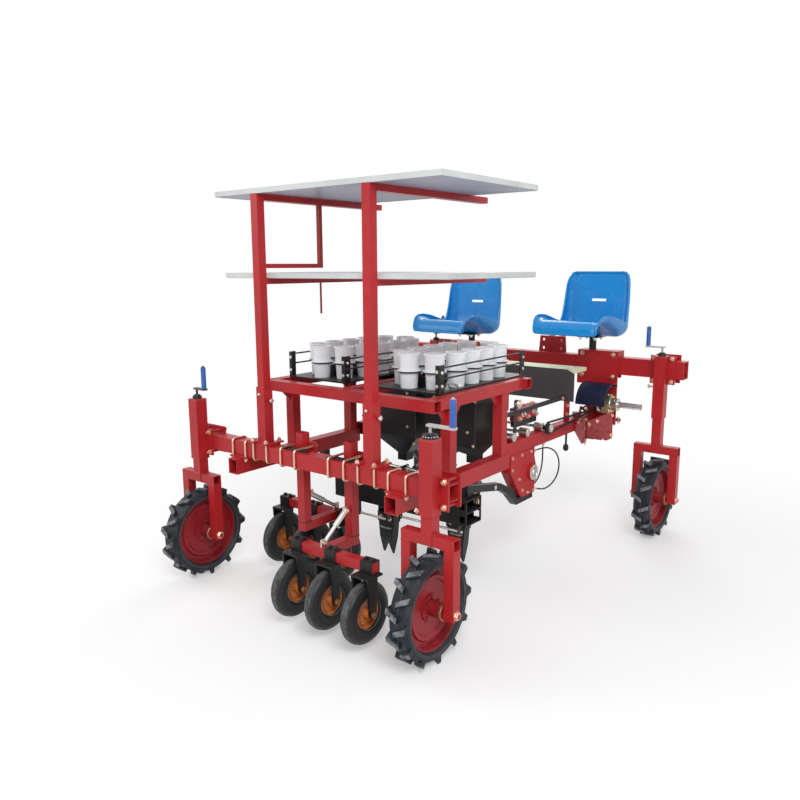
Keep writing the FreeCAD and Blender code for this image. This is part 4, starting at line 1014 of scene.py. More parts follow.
# ---- wheels and their legs
@dataclass
class GroundWheel:
    """The bolts, rim beads, bearing caps and mould lines of one ground wheel."""

    corner: str
    bolts: int = 5
    bolt_circle: float = 0.0445
    flange_face: float = 0.009
    back_face: float = 0.003
    rim_half: float = 0.030
    rim_bead: float = 0.0032
    line: float = 0.0011
    line_in: Pair = (0.048, 0.041)
    crown_in: float = 0.017
    valve_bore: float = 0.0042
    cap: Profile = ((0.058, 0.0308), (0.058, 0.0345), (0.060, 0.036), (0.070, 0.036), (0.0732, 0.033),
                    (0.0738, 0.0125), (0.0738, 0.0108))

    def lines(self, axle: Vector, rim: float) -> Shaper:
        """The tyre's mould lines and its valve.

        Args:
            axle: the middle of the wheel.
            rim: the rim's radius.

        Returns:
            What they are gathered in.
        """
        tyre = span("wheel_tyre_" + self.corner)
        outer = tyre.size.z / 2
        half = tyre.size.x / 2
        lines = Shaper()
        for radius, x in [(outer - inward, half) for inward in self.line_in] + [(outer - self.crown_in, 0.0)]:
            for side in (1, -1) if x else (1,):
                at = axle + ACROSS * side * (x - 0.0006 if x else 0)
                lines.lathe(at, ACROSS, round_bead(radius, self.line), 96, closed=True)
        valve = axle + Vector((0.004, 0.035, rim - 0.028))
        lines.sweep([valve, valve + ACROSS * 0.012, valve + Vector((0.024, 0, -0.004))], self.valve_bore, 10)
        return lines

    def build(self) -> None:
        """Builds the wheel's trim."""
        axle = joint_place("spin_" + self.corner)
        body = "wheel_" + self.corner
        rim = span("wheel_disc_" + self.corner).size.z / 2
        fast, rims, cap = Shaper(), Shaper(), Shaper()
        for angle in turns(self.bolts, 0.2):
            out = around(angle) * self.bolt_circle
            MEDIUM.put(fast, axle + out + ACROSS * self.flange_face, ACROSS, angle)
            MEDIUM.put(fast, axle + out - ACROSS * self.back_face, ACROSS * -1, angle)
        for side in (-1, 1):
            rims.lathe(axle + ACROSS * side * self.rim_half, ACROSS,
                       round_bead(rim - 0.001, self.rim_bead, 8), 96, closed=True)
            cap.lathe(axle, ACROSS * side, self.cap, 36)
        lines = self.lines(axle, rim)
        fast.make("hub_bolts_" + self.corner, Coat.WHEEL_RED, body, "wheel_red")
        cap.make("bearing_caps_" + self.corner, Coat.RUSTED, body)
        rims.make("rim_beads_" + self.corner, Coat.WHEEL_RED, body, "wheel_red")
        lines.make("tyre_lines_" + self.corner, Coat.MOULD_LINE, body)


@dataclass
class WheelLegs:
    """Axle nuts, clamp bolts, set screws and welds of the four wheel legs."""

    sleeve: float = 0.062
    ear_plate: float = 0.010
    bolt_out: float = 0.050
    bolt_end: float = 0.014
    plate_over: float = 0.030
    fork: float = 0.250
    fork_tube: float = 0.045
    fork_top: float = 0.528
    sleeve_over: float = 0.0106
    screw_down: float = 0.045
    screw: Profile = ((0, 0), (0, 0.0095), (0.007, 0.0095), (0.007, 0.005), (0.030, 0.005), (0.030, 0))
    screw_long: float = 0.029
    square_head: Profile = ((0, 0), (0, 0.0115), (0.009, 0.0115), (0.010, 0.010), (0.010, 0))

    def clamp(self, bolts: Shaper, axle: Vector, sleeve: Span, bar: Span) -> None:
        """Puts nuts on both ends of the four bolts that hold a sleeve to its toolbar.

        Args:
            bolts: gathers them.
            axle: the middle of the leg's axle.
            sleeve: the sleeve's box.
            bar: the toolbar's box.
        """
        for side in (-1, 1):
            for level in (-1, 1):
                x = axle.x + side * self.bolt_out
                z = bar.middle.z + level * (bar.size.z + self.plate_over) / 2
                rear = Vector((x, axle.y + self.sleeve / 2 - self.ear_plate, z))
                STOUT.put(bolts, rear, AHEAD * -1, 0.2 + 0.3 * side)
                STOUT.put(bolts, Vector((x, sleeve.high.y - self.bolt_end, z)), AHEAD, 0.5 * level)

    def set_screw(self, bolts: Shaper, axle: Vector, bar: Span) -> None:
        """Adds the square-headed screw that locks the leg in its sleeve.

        Args:
            bolts: gathers it.
            axle: the middle of the leg's axle.
            bar: the toolbar's box.
        """
        face = Vector((axle.x - self.sleeve / 2, axle.y, bar.low.z - self.screw_down))
        bolts.lathe(face, ACROSS * -1, self.screw, 12)
        bolts.lathe(face - ACROSS * self.screw_long, ACROSS * -1, self.square_head, 4, turn=0.78)

    def build(self) -> None:
        """Builds the trim of all four legs."""
        bolts, welds = Shaper(), Shaper()
        for corner in CORNERS:
            axle = joint_place("spin_" + corner)
            bar = span("rear_toolbar" if corner.startswith("rear") else "front_toolbar")
            sleeve = min(solids("leg_sleeves"), key=lambda box: (box.middle - axle).xy.length)
            self.clamp(bolts, axle, sleeve, bar)
            self.set_screw(bolts, axle, bar)
            for side in (-1, 1):
                LARGE.put(bolts, axle + ACROSS * side * self.fork / 2, ACROSS * side, 0.1)
                leg = Vector((axle.x + side * (self.fork - self.fork_tube) / 2, axle.y, self.fork_top))
                weld(welds, leg - UP * self.fork_tube, UP, self.fork_tube, self.fork_tube, 0.0022)
            post = self.sleeve - self.sleeve_over
            weld(welds, Vector((axle.x, axle.y, self.fork_top)), UP, post, post)
            foot = Vector((axle.x, axle.y, sleeve.low.z)) + UP * 0.001
            weld(welds, foot, UP, self.sleeve, self.sleeve, 0.0012)
        bolts.make("leg_bolts", Coat.COPPER_ZINC)
        welds.make("leg_welds", Coat.RED_PAINT, slot="red_paint")


@dataclass
class JackTrim:
    """The rings and the open thrust bearing of the four screw jacks, and the ribs of their grips."""

    screw: float = 0.050
    cap: float = 0.008
    ring: float = 0.044
    ring_high: float = 0.014
    inside: float = 0.0224
    race: float = 0.0305
    cage: float = 0.0262
    ball_count: int = 16
    ball_circle: float = 0.0272
    ball: Profile = ((0, 0), (0.0005, 0.0014), (0.0016, 0.0028), (0.0033, 0.0033), (0.0049, 0.0028),
                     (0.0060, 0.0014), (0.0065, 0))
    ribs: tuple[float, ...] = (0.14, 0.32, 0.5, 0.68, 0.86)

    def thrust(self, rings: Shaper, balls: Shaper, foot: Vector) -> None:
        """Adds the open thrust bearing that is round one jack's ring.

        Args:
            rings: gathers the races.
            balls: gathers the balls.
            foot: the middle of its foot.
        """
        for low, high, outside in ((0.0003, 0.004, self.race), (0.0105, 0.0142, self.race),
                                   (0.004, 0.0105, self.cage)):
            rings.lathe(foot, UP, [(low, self.inside), (low, outside), (high, outside), (high, self.inside)],
                        40, closed=True)
        for angle in turns(self.ball_count):
            out = Vector((math.cos(angle) * self.ball_circle, math.sin(angle) * self.ball_circle, 0.0040))
            balls.lathe(foot + out, UP, self.ball, 8)

    def build(self) -> None:
        """Builds the rings, the thrust bearing and the ribs."""
        rings, ribs, balls = Shaper(), Shaper(), Shaper()
        for crank in solids("jack_cranks"):
            fork = min(solids("wheel_forks"), key=lambda box: (box.middle - crank.middle).xy.length).middle
            base = Vector((fork.x, fork.y, crank.low.z + self.screw + self.cap + self.ring_high))
            radius = self.ring / 2
            rings.lathe(base, UP, [(0, 0.006), (0, radius * 0.66), (0.0022, radius * 0.74),
                                   (0.006, radius * 0.66), (0.007, 0.0062)], 28)
            if crank.middle.x > 0 > crank.middle.y:
                self.thrust(rings, balls, base - UP * self.ring_high)
            rings.lathe(base - UP * 0.004, UP, [(0, radius * 0.9), (-0.001, radius * 1.03),
                                                (0.003, radius * 1.03), (0.003, radius * 0.9)], 28)
        for grip in solids("crank_grips"):
            radius = grip.size.x / 2
            for level in self.ribs:
                at = Vector((grip.middle.x, grip.middle.y, grip.low.z + level * grip.size.z))
                ribs.lathe(at, UP, round_bead(radius - 0.0004, 0.0018, thick=0.0010), 24, closed=True)
        balls.make("jack_balls", Coat.ZINC)
        rings.make("jack_rings", Coat.OIL_BLACK)
        ribs.make("grip_beads", Coat.GRIP_PLASTIC, slot="grip_plastic")


# ---- press wheels
@dataclass
class PressTrim:
    """Rim bolts, rim beads, axle nuts, lug bolts and clamp screws of both press gangs."""

    gangs: tuple[str, ...] = ("front", "rear")
    wheels: int = 3
    rim_bolts: int = 5
    rim_circle: float = 0.044
    rim_face: float = 0.003
    axle_nut: Hexagon = Hexagon(0.022, 0.009, 0.014)
    leg_outer: float = 0.046
    fork_ahead: float = 0.035
    fork_bolt: float = 0.018
    fork_top: float = 0.3713
    bar_top: float = 0.366
    lug: float = 0.004
    lug_in: float = 0.017

    def wheel(self, name: str) -> None:
        """Dresses one press wheel with its rim bolts, its rim's beads and its tread's middle line.

        Args:
            name: the gang's name and the wheel's number.
        """
        axle = joint_place("spin_press_" + name)
        rim = span("press_rim_" + name)
        tyre = span("press_tyre_" + name)
        bolts, lines = Shaper(), Shaper()
        for side in (-1, 1):
            face = axle + ACROSS * side * self.rim_face
            for angle in turns(self.rim_bolts, 0.4):
                SMALL.put(bolts, face + around(angle) * self.rim_circle, ACROSS * side, angle)
            lines.lathe(axle + ACROSS * side * (rim.size.x / 2 - 0.0005), ACROSS,
                        round_bead(rim.size.z / 2 - 0.001, 0.0024), 64, closed=True)
        lines.lathe(axle, ACROSS, round_bead(tyre.size.z / 2 + 0.0003, 0.0010), 96, closed=True)
        body = "press_" + name
        bolts.make("press_rim_bolts_" + name, Coat.ORANGE_PAINT, body, "orange_paint")
        lines.make("press_lines_" + name, Coat.MOULD_LINE, body, "press_tyre")

    def gang(self, bolts: Shaper, nuts: Shaper, welds: Shaper, name: str, post: Span) -> None:
        """Adds one gang's nuts and bolts.

        Args:
            bolts: the clamps' bolts.
            nuts: the axles' nuts.
            welds: the weld beads.
            name: the gang's name.
            post: the box of its post.
        """
        for number in range(1, self.wheels + 1):
            axle = joint_place("spin_press_%s_%d" % (name, number))
            for side in (-1, 1):
                self.axle_nut.put(nuts, axle + ACROSS * side * self.leg_outer, ACROSS * side, 0.2)
                clamp = Vector((axle.x + side * self.fork_bolt, axle.y + self.fork_ahead, self.fork_top))
                MEDIUM.put(bolts, clamp, UP, 0.3)
        foot = Vector((post.middle.x, post.middle.y, self.bar_top))
        weld(welds, foot, UP, post.size.x, post.size.y, 0.0022)

    def strut(self, lugs: Shaper, box: Span, way: int) -> None:
        """Adds the bolts through the lugs at both ends of one strut.

        Args:
            lugs: gathers them.
            box: the strut's box.
            way: 1 where its upper end is the rear one, else -1.
        """
        ends = [(box.low.y, box.high.z), (box.high.y, box.low.z)]
        if way < 0:
            ends = [(box.high.y, box.high.z), (box.low.y, box.low.z)]
        for y, z in ends:
            upper = z > box.middle.z
            inward = way if upper else -way
            down = -1 if upper else 1
            for side in (-1, 1):
                place = Vector((box.middle.x + side * self.lug, y + inward * self.lug_in,
                                z + down * self.lug_in))
                MEDIUM.put(lugs, place, ACROSS * side, 0.4)

    def build(self) -> None:
        """Builds the trim of both gangs."""
        bolts, welds, lugs, nuts = Shaper(), Shaper(), Shaper(), Shaper()
        for name in self.gangs:
            for number in range(1, self.wheels + 1):
                self.wheel("%s_%d" % (name, number))
        posts = solids("press_posts")
        for name, post in zip(self.gangs, posts):
            self.gang(bolts, nuts, welds, name, post)
        for rod in solids("bright_rods"):
            if rod.size.x <= 0.03 and rod.size.z >= 0.12:
                self.strut(lugs, rod, 1 if rod.middle.y > posts[0].middle.y else -1)
        bolts.make("press_bolts", Coat.OIL_BLACK)
        nuts.make("press_axle_nuts", Coat.RUSTED)
        lugs.make("strut_bolts", Coat.COPPER_ZINC)
        welds.make("press_welds", Coat.BLACK_PAINT, slot="black_paint")


# ---- cup loops
@dataclass
class CupLoops:
    """The links, rings and bolts round both loops of cups."""

    nodes: tuple[str, ...] = ("cups_left", "cups_right")
    flange_low: float = 0.0760
    waist: float = 0.042
    link_half: float = 0.0065
    link_thick: float = 0.0028
    pin: Profile = ((0, 0), (0, 0.0045), (0.013, 0.0045), (0.014, 0.0036), (0.014, 0))

    def order(self, cups: list[Span]) -> list[Span]:
        """The cups in order round their loop."""
        middle = sum((cup.middle for cup in cups), Vector()) / len(cups)
        return sorted(cups, key=lambda cup: math.atan2(cup.middle.y - middle.y, cup.middle.x - middle.x))

    def rings(self, shaper: Shaper, cup: Span) -> None:
        """Adds the black ring that carries one cup under its flange.

        Args:
            shaper: gathers it.
            cup: the cup's box.
        """
        at = Vector((cup.middle.x, cup.middle.y, cup.low.z + self.flange_low))
        inside = self.waist + 0.0002
        outside = self.waist + 0.007
        shaper.lathe(at, UP, [(-0.007, inside), (-0.007, outside), (-0.0002, outside), (-0.0002, inside)],
                     40, closed=True)

    def link(self, shaper: Shaper, pins: Shaper, one: Span, two: Span) -> None:
        """Adds the chain link between two neighbouring cups' rings.

        Args:
            shaper: gathers its two plates.
            pins: gathers its pin.
            one: a cup's box.
            two: the next cup's box.
        """
        start = Vector((one.middle.x, one.middle.y, one.low.z + self.flange_low - 0.0045))
        end = Vector((two.middle.x, two.middle.y, two.low.z + self.flange_low - 0.0045))
        along = (end - start).normalized()
        first = start + along * (self.waist + 0.006)
        last = end - along * (self.waist + 0.006)
        across = along.cross(UP) * self.link_half
        outline = (first - across, last - across, last + across, first + across)
        for level in (-0.004, 0.0005):
            shaper.panel([corner + UP * level for corner in outline], UP * self.link_thick)
        pins.lathe((first + last) / 2 - UP * 0.008, UP, self.pin, 12)

    def brackets(self, bolts: Shaper, rail: Span, loop: float) -> None:
        """Adds the bolts through one rail's uprights.

        Args:
            bolts: gathers them.
            rail: the rail's box.
            loop: the middle of its loop across the machine.
        """
        outward = 1 if rail.middle.x > loop else -1
        face = rail.high.x if outward > 0 else rail.low.x
        for y in (rail.low.y + 0.018, rail.high.y - 0.018):
            for z in (rail.low.z + 0.030, rail.low.z + 0.088):
                SMALL.put(bolts, Vector((face, y, z)), ACROSS * outward, y)
        for z in (rail.low.z + 0.030, rail.low.z + 0.092):
            SMALL.put(bolts, Vector((face - outward * 0.013, rail.low.y, z)), AHEAD * -1, z)

    def build(self) -> None:
        """Builds the loops' trim."""
        rings, links, pins = Shaper(), Shaper(), Shaper()
        for node in self.nodes:
            cups = self.order(solids(node))
            for cup, after in zip(cups, cups[1:] + cups[:1]):
                self.rings(rings, cup)
                self.link(links, pins, cup, after)
        for rail in solids("cup_rails"):
            self.brackets(pins, rail, math.copysign(span("cups_right").middle.x, rail.middle.x))
        rings.make("cup_rings", Coat.BLACK_PAINT, slot="black_paint")
        links.make("loop_links", Coat.OIL_BLACK)
        pins.make("loop_pins", Coat.ZINC, slot="bright_steel")


# ---- table and rack
@dataclass
class TableTrim:
    """Weld beads at the table's legs and the lever beside its right-hand loop."""

    tube: float = 0.050
    legs: Pair = (-0.575, -0.145)
    lever: tuple[Point, ...] = ((0.418, -0.501, 1.000), (0.418, -0.501, 1.030), (0.470, -0.537, 1.034),
                                (0.524, -0.573, 1.036))
    grip: Profile = ((-0.02, 0), (-0.02, 0.0062), (0.012, 0.0075), (0.018, 0.005), (0.018, 0))
    nut: Hexagon = Hexagon(0.016, 0.007, 0.011)

    def build(self) -> None:
        """Builds the welds and the lever."""
        welds, bars = Shaper(), Shaper()
        table = span("table_frame")
        beam = span("chassis_beam_right")
        for side in (-1, 1):
            for y in self.legs:
                foot = Vector((side * beam.middle.x, y, table.low.z + 0.001))
                weld(welds, foot, UP, self.tube, self.tube)
                head = foot + UP * (table.high.z - self.tube - table.low.z)
                weld(welds, head, UP, self.tube, self.tube, 0.0022)
        for x in (-beam.middle.x, 0, beam.middle.x):
            for y, way in ((table.low.y, 1), (table.high.y, -1)):
                joint = Vector((x, y + way * self.tube, table.high.z - self.tube / 2))
                weld(welds, joint, AHEAD, self.tube, self.tube, 0.0020)
        route = [Vector(point) for point in self.lever]
        bars.sweep(bent(route, 0.012), 0.0045, 10)
        bars.lathe(route[-1], (route[-1] - route[-2]).normalized(), self.grip, 16)
        self.nut.put(bars, route[0] - UP * 0.0016, UP)
        welds.make("table_welds", Coat.RED_PAINT, slot="red_paint")
        bars.make("loop_lever", Coat.ZINC, slot="bright_steel")


@dataclass
class RackTrim:
    """Welds, pins, clips and shelf edges of the rack."""

    sleeve: float = 0.052
    sleeve_top: float = 0.990
    pin: float = 0.928
    pin_out: float = 0.048
    pin_head: Profile = ((0, 0), (0, 0.0105), (0.006, 0.0105), (0.007, 0.009), (0.007, 0))
    clip_bend: float = 0.011
    sleeve_screw: Profile = ((0, 0), (0, 0.007), (0.010, 0.007), (0.011, 0.006), (0.011, 0))
    edge: float = 0.004
    lower_edge: float = 0.0015
    upper_edge: float = 0.0037
    shelf_screw: Profile = ((0, 0), (0, 0.0085), (0.0008, 0.0080), (0.0020, 0.004), (0.0022, 0))

    def clip(self, pins: Shaper, x: float, y: float) -> None:
        """Adds a pin's head and its hairpin clip.

        Args:
            pins: gathers them.
            x: the post's place across the machine.
            y: its place along the machine.
        """
        head = Vector((x + self.pin_out - 0.003, y, self.pin))
        pins.lathe(head, ACROSS, self.pin_head, 20)
        tail = Vector((x - self.pin_out + 0.006, y, self.pin))
        bend = self.clip_bend
        loop = [tail + Vector((0, 0.002 + bend * math.sin(a), -0.014 - bend * math.cos(a)))
                for a in turns(16)]
        pins.sweep([tail + UP * 0.014, tail - UP * 0.004] + loop[8:] + loop[:8], 0.0014, 6)

    def shelf(self, edges: Shaper, screws: Shaper, node: str, posts: tuple[float, ...]) -> None:
        """Adds a shelf's rolled edges and the screws into its arms.

        Args:
            edges: gathers the edges.
            screws: gathers the screws.
            node: the shelf's node.
            posts: where the posts stand across the machine.
        """
        box = span(node)
        low = box.low + Vector((self.edge, self.edge, 0))
        high = box.high - Vector((self.edge, self.edge, 0))
        for z in (box.low.z + self.lower_edge, box.high.z - self.upper_edge):
            ring = [Vector((low.x, low.y, z)), Vector((high.x, low.y, z)), Vector((high.x, high.y, z)),
                    Vector((low.x, high.y, z))]
            for start, end in zip(ring, ring[1:] + ring[:1]):
                edges.sweep([start, end], self.edge - 0.0004, 8)
        for x in posts:
            for share in (0.14, 0.5, 0.9):
                place = Vector((x, box.low.y + share * box.size.y, box.high.z - 0.0022))
                screws.lathe(place, UP, self.shelf_screw, 20)

    def build(self) -> None:
        """Builds the rack's trim."""
        pins, welds, edges, screws = Shaper(), Shaper(), Shaper(), Shaper()
        posts = []
        for node in ("rack_post_left", "rack_post_right"):
            box = span(node)
            bar = span("rear_toolbar")
            x, y = box.middle.x, bar.middle.y
            posts.append(x)
            self.clip(pins, x, y)
            weld(welds, Vector((x, y, box.low.z + 0.009)), UP, self.sleeve, self.sleeve)
            weld(welds, Vector((x, y, self.sleeve_top)), UP, self.sleeve - 0.010, self.sleeve - 0.010, 0.0020)
            for z in (box.high.z - 0.014, span("shelf_middle").low.z - 0.0143):
                weld(welds, Vector((x, y + 0.021, z)), AHEAD, 0.042, 0.028, 0.0020)
            pins.lathe(Vector((x, y - 0.026, self.pin + 0.030)), AHEAD * -1, self.sleeve_screw, 6)
        for node in ("shelf_top", "shelf_middle"):
            self.shelf(edges, screws, node, tuple(posts))
        pins.make("rack_pins", Coat.ZINC, slot="bright_steel")
        welds.make("rack_welds", Coat.RED_PAINT, slot="red_paint")
        edges.make("shelf_edges", Coat.SHELF_SHEET, slot="shelf_sheet")
        screws.make("shelf_screws", Coat.ZINC, slot="bright_steel")


# ---- seats
@dataclass
class SeatTrim:
    """The rolled rim of one seat and the bolts in its pan.

    A station of the rim is its distance ahead, its height, its lean in degrees, half its width and how
    high the shell stands there.
    """

    side: str
    bead: float = 0.0062
    shell: float = 0.009
    bolt_out: float = 0.045
    pan_ahead: float = 0.368
    pan_bolt: Profile = ((-0.001, 0), (-0.001, 0.012), (0.0015, 0.012), (0.0015, 0.008), (0.004, 0.007),
                         (0.0055, 0.004), (0.006, 0))
    pan_nut: Hexagon = Hexagon(0.017, 0.007, 0.012, 0.008)
    stations: tuple[tuple[float, ...], ...] = (
        (0.002, 0.030, 80, 0.182, 0.014), (0.010, 0.066, 62, 0.190, 0.016), (0.040, 0.090, 14, 0.200, 0.026),
        (0.11, 0.084, -9, 0.208, 0.044), (0.22, 0.050, -15, 0.213, 0.060), (0.31, 0.016, -12, 0.214, 0.070),
        (0.376, 0.000, 0, 0.213, 0.076), (0.424, 0.016, 34, 0.211, 0.076), (0.450, 0.062, 68, 0.208, 0.068),
        (0.460, 0.130, 80, 0.205, 0.056), (0.466, 0.220, 85, 0.201, 0.044), (0.469, 0.310, 87, 0.194, 0.032),
        (0.470, 0.350, 87, 0.176, 0.020), (0.470, 0.372, 87, 0.148, 0.014))

    def rim(self, box: Span, pan: float) -> list[Vector]:
        """The rim's path, up one side and down the other.

        Args:
            box: the seat's box.
            pan: the height of its floor.

        Returns:
            The path's points before they are laid on the shell.
        """
        depth = (box.high.y - box.low.y) / self.stations[-1][0]
        sides: dict[int, list[Vector]] = {-1: [], 1: []}
        for ahead, up, lean, half, high in self.stations:
            turn = math.radians(lean)
            raised = Vector((0, -math.sin(turn), math.cos(turn))) * high
            base = Vector((box.middle.x, box.low.y + ahead * depth, pan + up))
            for side in (-1, 1):
                sides[side].append(base + raised + ACROSS * side * (half - self.shell / 2))
        return sides[1] + list(reversed(sides[-1]))

    def build(self) -> None:
        """Builds the seat's trim."""
        box = span("seat_" + self.side)
        column = min(solids("seat_columns"), key=lambda column: (column.middle - box.middle).xy.length)
        pan = column.high.z + 0.0003
        mesh = frame["nodes"]["seat_" + self.side].data
        tree = BVHTree.FromPolygons([v.co for v in mesh.vertices], [tuple(p.vertices) for p in mesh.polygons])
        shaper, bolts = Shaper(), Shaper()
        path = flowing(self.rim(box, pan), 5)
        laid = [tree.find_nearest(point)[0] for point in path]
        laid = [Vector((point.x, min(max(point.y, box.low.y + self.bead), box.high.y - self.bead),
                        min(point.z, box.high.z - self.bead))) for point in laid]
        shaper.sweep(laid, self.bead, 12, closed=True)
        for side in (-1, 1):
            for along in (-1, 1):
                y = box.low.y + self.pan_ahead + along * self.bolt_out
                above = Vector((box.middle.x + side * self.bolt_out, y, pan + 0.2))
                place, way = tree.ray_cast(above, UP * -1)[:2]
                bolts.lathe(place, way, self.pan_bolt, 24)
                under = Vector((column.middle.x + side * self.bolt_out, y, column.high.z - 0.008))
                self.pan_nut.put(bolts, under, UP * -1, 0.3)
        shaper.make("seat_rim_" + self.side, Coat.SEAT_PLASTIC, slot="seat_plastic")
        bolts.make("seat_bolts_" + self.side, Coat.ZINC, slot="bright_steel")


@dataclass
class SaddleTrim:
    """The bolts of the seats' brackets and the welds at the feet of their columns."""

    bolt_end: float = 0.014
    strap_in: float = 0.030
    over: float = 0.030

    def build(self) -> None:
        """Builds the brackets' trim."""
        bolts, welds = Shaper(), Shaper()
        bar = span("front_toolbar")
        for hanger in solids("seat_hangers"):
            for x in (hanger.low.x + self.strap_in, hanger.high.x - self.strap_in):
                for level in (-1, 1):
                    z = bar.middle.z + level * (bar.size.z + self.over) / 2
                    STOUT.put(bolts, Vector((x, hanger.low.y + self.bolt_end, z)), AHEAD * -1, 0.4)
                    STOUT.put(bolts, Vector((x, hanger.high.y - self.bolt_end, z)), AHEAD, 0.1)
        for column in solids("seat_columns"):
            at = Vector((column.middle.x, bar.middle.y - 0.026, column.low.z))
            ring = [(along + 0.001, radius) for along, radius in round_bead(0.0212, 0.003, 8)]
            welds.lathe(at, UP, ring, 40, closed=True)
        bolts.make("saddle_bolts", Coat.COPPER_ZINC)
        welds.make("column_welds", Coat.RED_PAINT, slot="red_paint")


# ---- planting units
@dataclass
class PlanterTrim:
    """Pivot nuts, collars, springs, hinge bolts, hopper bolts and hopper seams of the planting units."""

    shaft_ahead: float = 0.130
    shaft_z: float = 0.479
    drop: float = 0.090
    plate_out: float = 0.0726
    link_bolts: tuple[Pair, ...] = ((0.030, -0.050), (0.100, -0.030))
    collar: Profile = ((0, 0.0112), (0, 0.019), (0.011, 0.019), (0.012, 0.018), (0.012, 0.0112))
    grub: Hexagon = Hexagon(0.008, 0.004)
    pivot_nut: Hexagon = Hexagon(0.022, 0.010, 0.015, 0.005)
    bill_long: float = 0.175
    hinge_up: float = 0.026
    hinge_half: float = 0.030
    hinge_out: float = 0.027
    jaw_out: float = 0.0225
    turns: int = 9
    turn_sides: int = 10
    coil: float = 0.0048
    wire: float = 0.0011
    spring_half: float = 0.030
    spring_end: float = 0.040
    hopper_edge: float = 0.640
    hopper_bolts: tuple[Point, ...] = (
        (-0.28, -0.130, 0.880), (-0.09, -0.130, 0.880), (-0.048, -0.1275, 0.613), (-0.28, -0.130, 0.700),
        (-0.09, -0.130, 0.700), (0.085, -0.130, 0.880), (0.288, -0.130, 0.720), (0.330, -0.130, 0.880),
        (0.085, -0.130, 0.720), (0.322, -0.130, 0.655))

    @property
    def front(self) -> float:
        """The planter bar's front face."""
        return span("duckbills").middle.y - 0.070

    def pivots(self, bolts: Shaper, collars: Shaper, row: float) -> None:
        """Adds one unit's shaft collars, lower pivot nuts and link bolts.

        Args:
            bolts: gathers the nuts and bolts.
            collars: gathers the collars.
            row: the unit's place across the machine.
        """
        for side in (-1, 1):
            x = row + side * self.plate_out
            face = Vector((x, self.front + self.shaft_ahead, self.shaft_z))
            collars.lathe(face, ACROSS * side, self.collar, 28, closed=True)
            self.grub.put(collars, face + Vector((side * 0.006, 0, 0.0185)), UP)
            self.pivot_nut.put(bolts, face - UP * self.drop, ACROSS * side, 0.2)
            for ahead, up in self.link_bolts:
                MEDIUM.put(bolts, Vector((x, self.front + ahead, self.shaft_z + up)), ACROSS * side, 0.5)

    def spring(self, coils: Shaper, bill: Span, face: float, way: Vector) -> None:
        """Adds the coil spring that closes one opener's jaws.

        Args:
            coils: gathers it.
            bill: the opener's box.
            face: the jaws' face along the machine.
            way: the way that the face looks.
        """
        z = bill.low.z + self.bill_long - 0.030
        path = []
        steps = self.turns * self.turn_sides
        for k in range(steps + 1):
            angle = 2 * math.pi * k / self.turn_sides
            along = -self.spring_half + 2 * self.spring_half * k / steps
            path.append(Vector((bill.middle.x + along, face + way.y * (0.0068 + self.coil * math.cos(angle)),
                                z + self.coil * math.sin(angle))))
        ends = [Vector((bill.middle.x + side * self.spring_end, face + way.y * 0.001, z + 0.004))
                for side in (-1, 1)]
        coils.sweep([ends[0]] + path + [ends[1]], self.wire, 5)

    def bill(self, bolts: Shaper, coils: Shaper, bill: Span) -> None:
        """Adds one opener's hinge bolts and springs.

        Args:
            bolts: gathers the bolts.
            coils: gathers the springs.
            bill: the opener's box.
        """
        z = bill.low.z + self.bill_long + self.hinge_up
        for way in (AHEAD, AHEAD * -1):
            for side in (-1, 1):
                place = Vector((bill.middle.x + side * self.hinge_half,
                                bill.middle.y + way.y * self.hinge_out, z))
                MEDIUM.put(bolts, place, way, 0.3)
            self.spring(coils, bill, bill.middle.y + way.y * self.jaw_out, way)

    def build(self) -> None:
        """Builds the planting units' trim."""
        bolts, collars, coils, seams = Shaper(), Shaper(), Shaper(), Shaper()
        for opener in solids("duckbills"):
            self.pivots(bolts, collars, opener.middle.x)
            self.bill(bolts, coils, opener)
        for place in self.hopper_bolts:
            SMALL.put(bolts, Vector(place), AHEAD * -1, 0.2)
        for hopper in solids("seedling_chutes"):
            y = hopper.low.y
            for x in (hopper.low.x, hopper.high.x):
                ends = [Vector((x, y, z)) for z in (self.hopper_edge, hopper.high.z - 0.004)]
                seams.sweep(ends, 0.0016, 8)
        bolts.make("planter_bolts", Coat.COPPER_ZINC)
        collars.make("shaft_collars", Coat.ZINC, slot="bright_steel")
        coils.make("opener_springs", Coat.ZINC, slot="bright_steel")
        seams.make("hopper_seams", Coat.GREY_PAINT, slot="grey_paint")


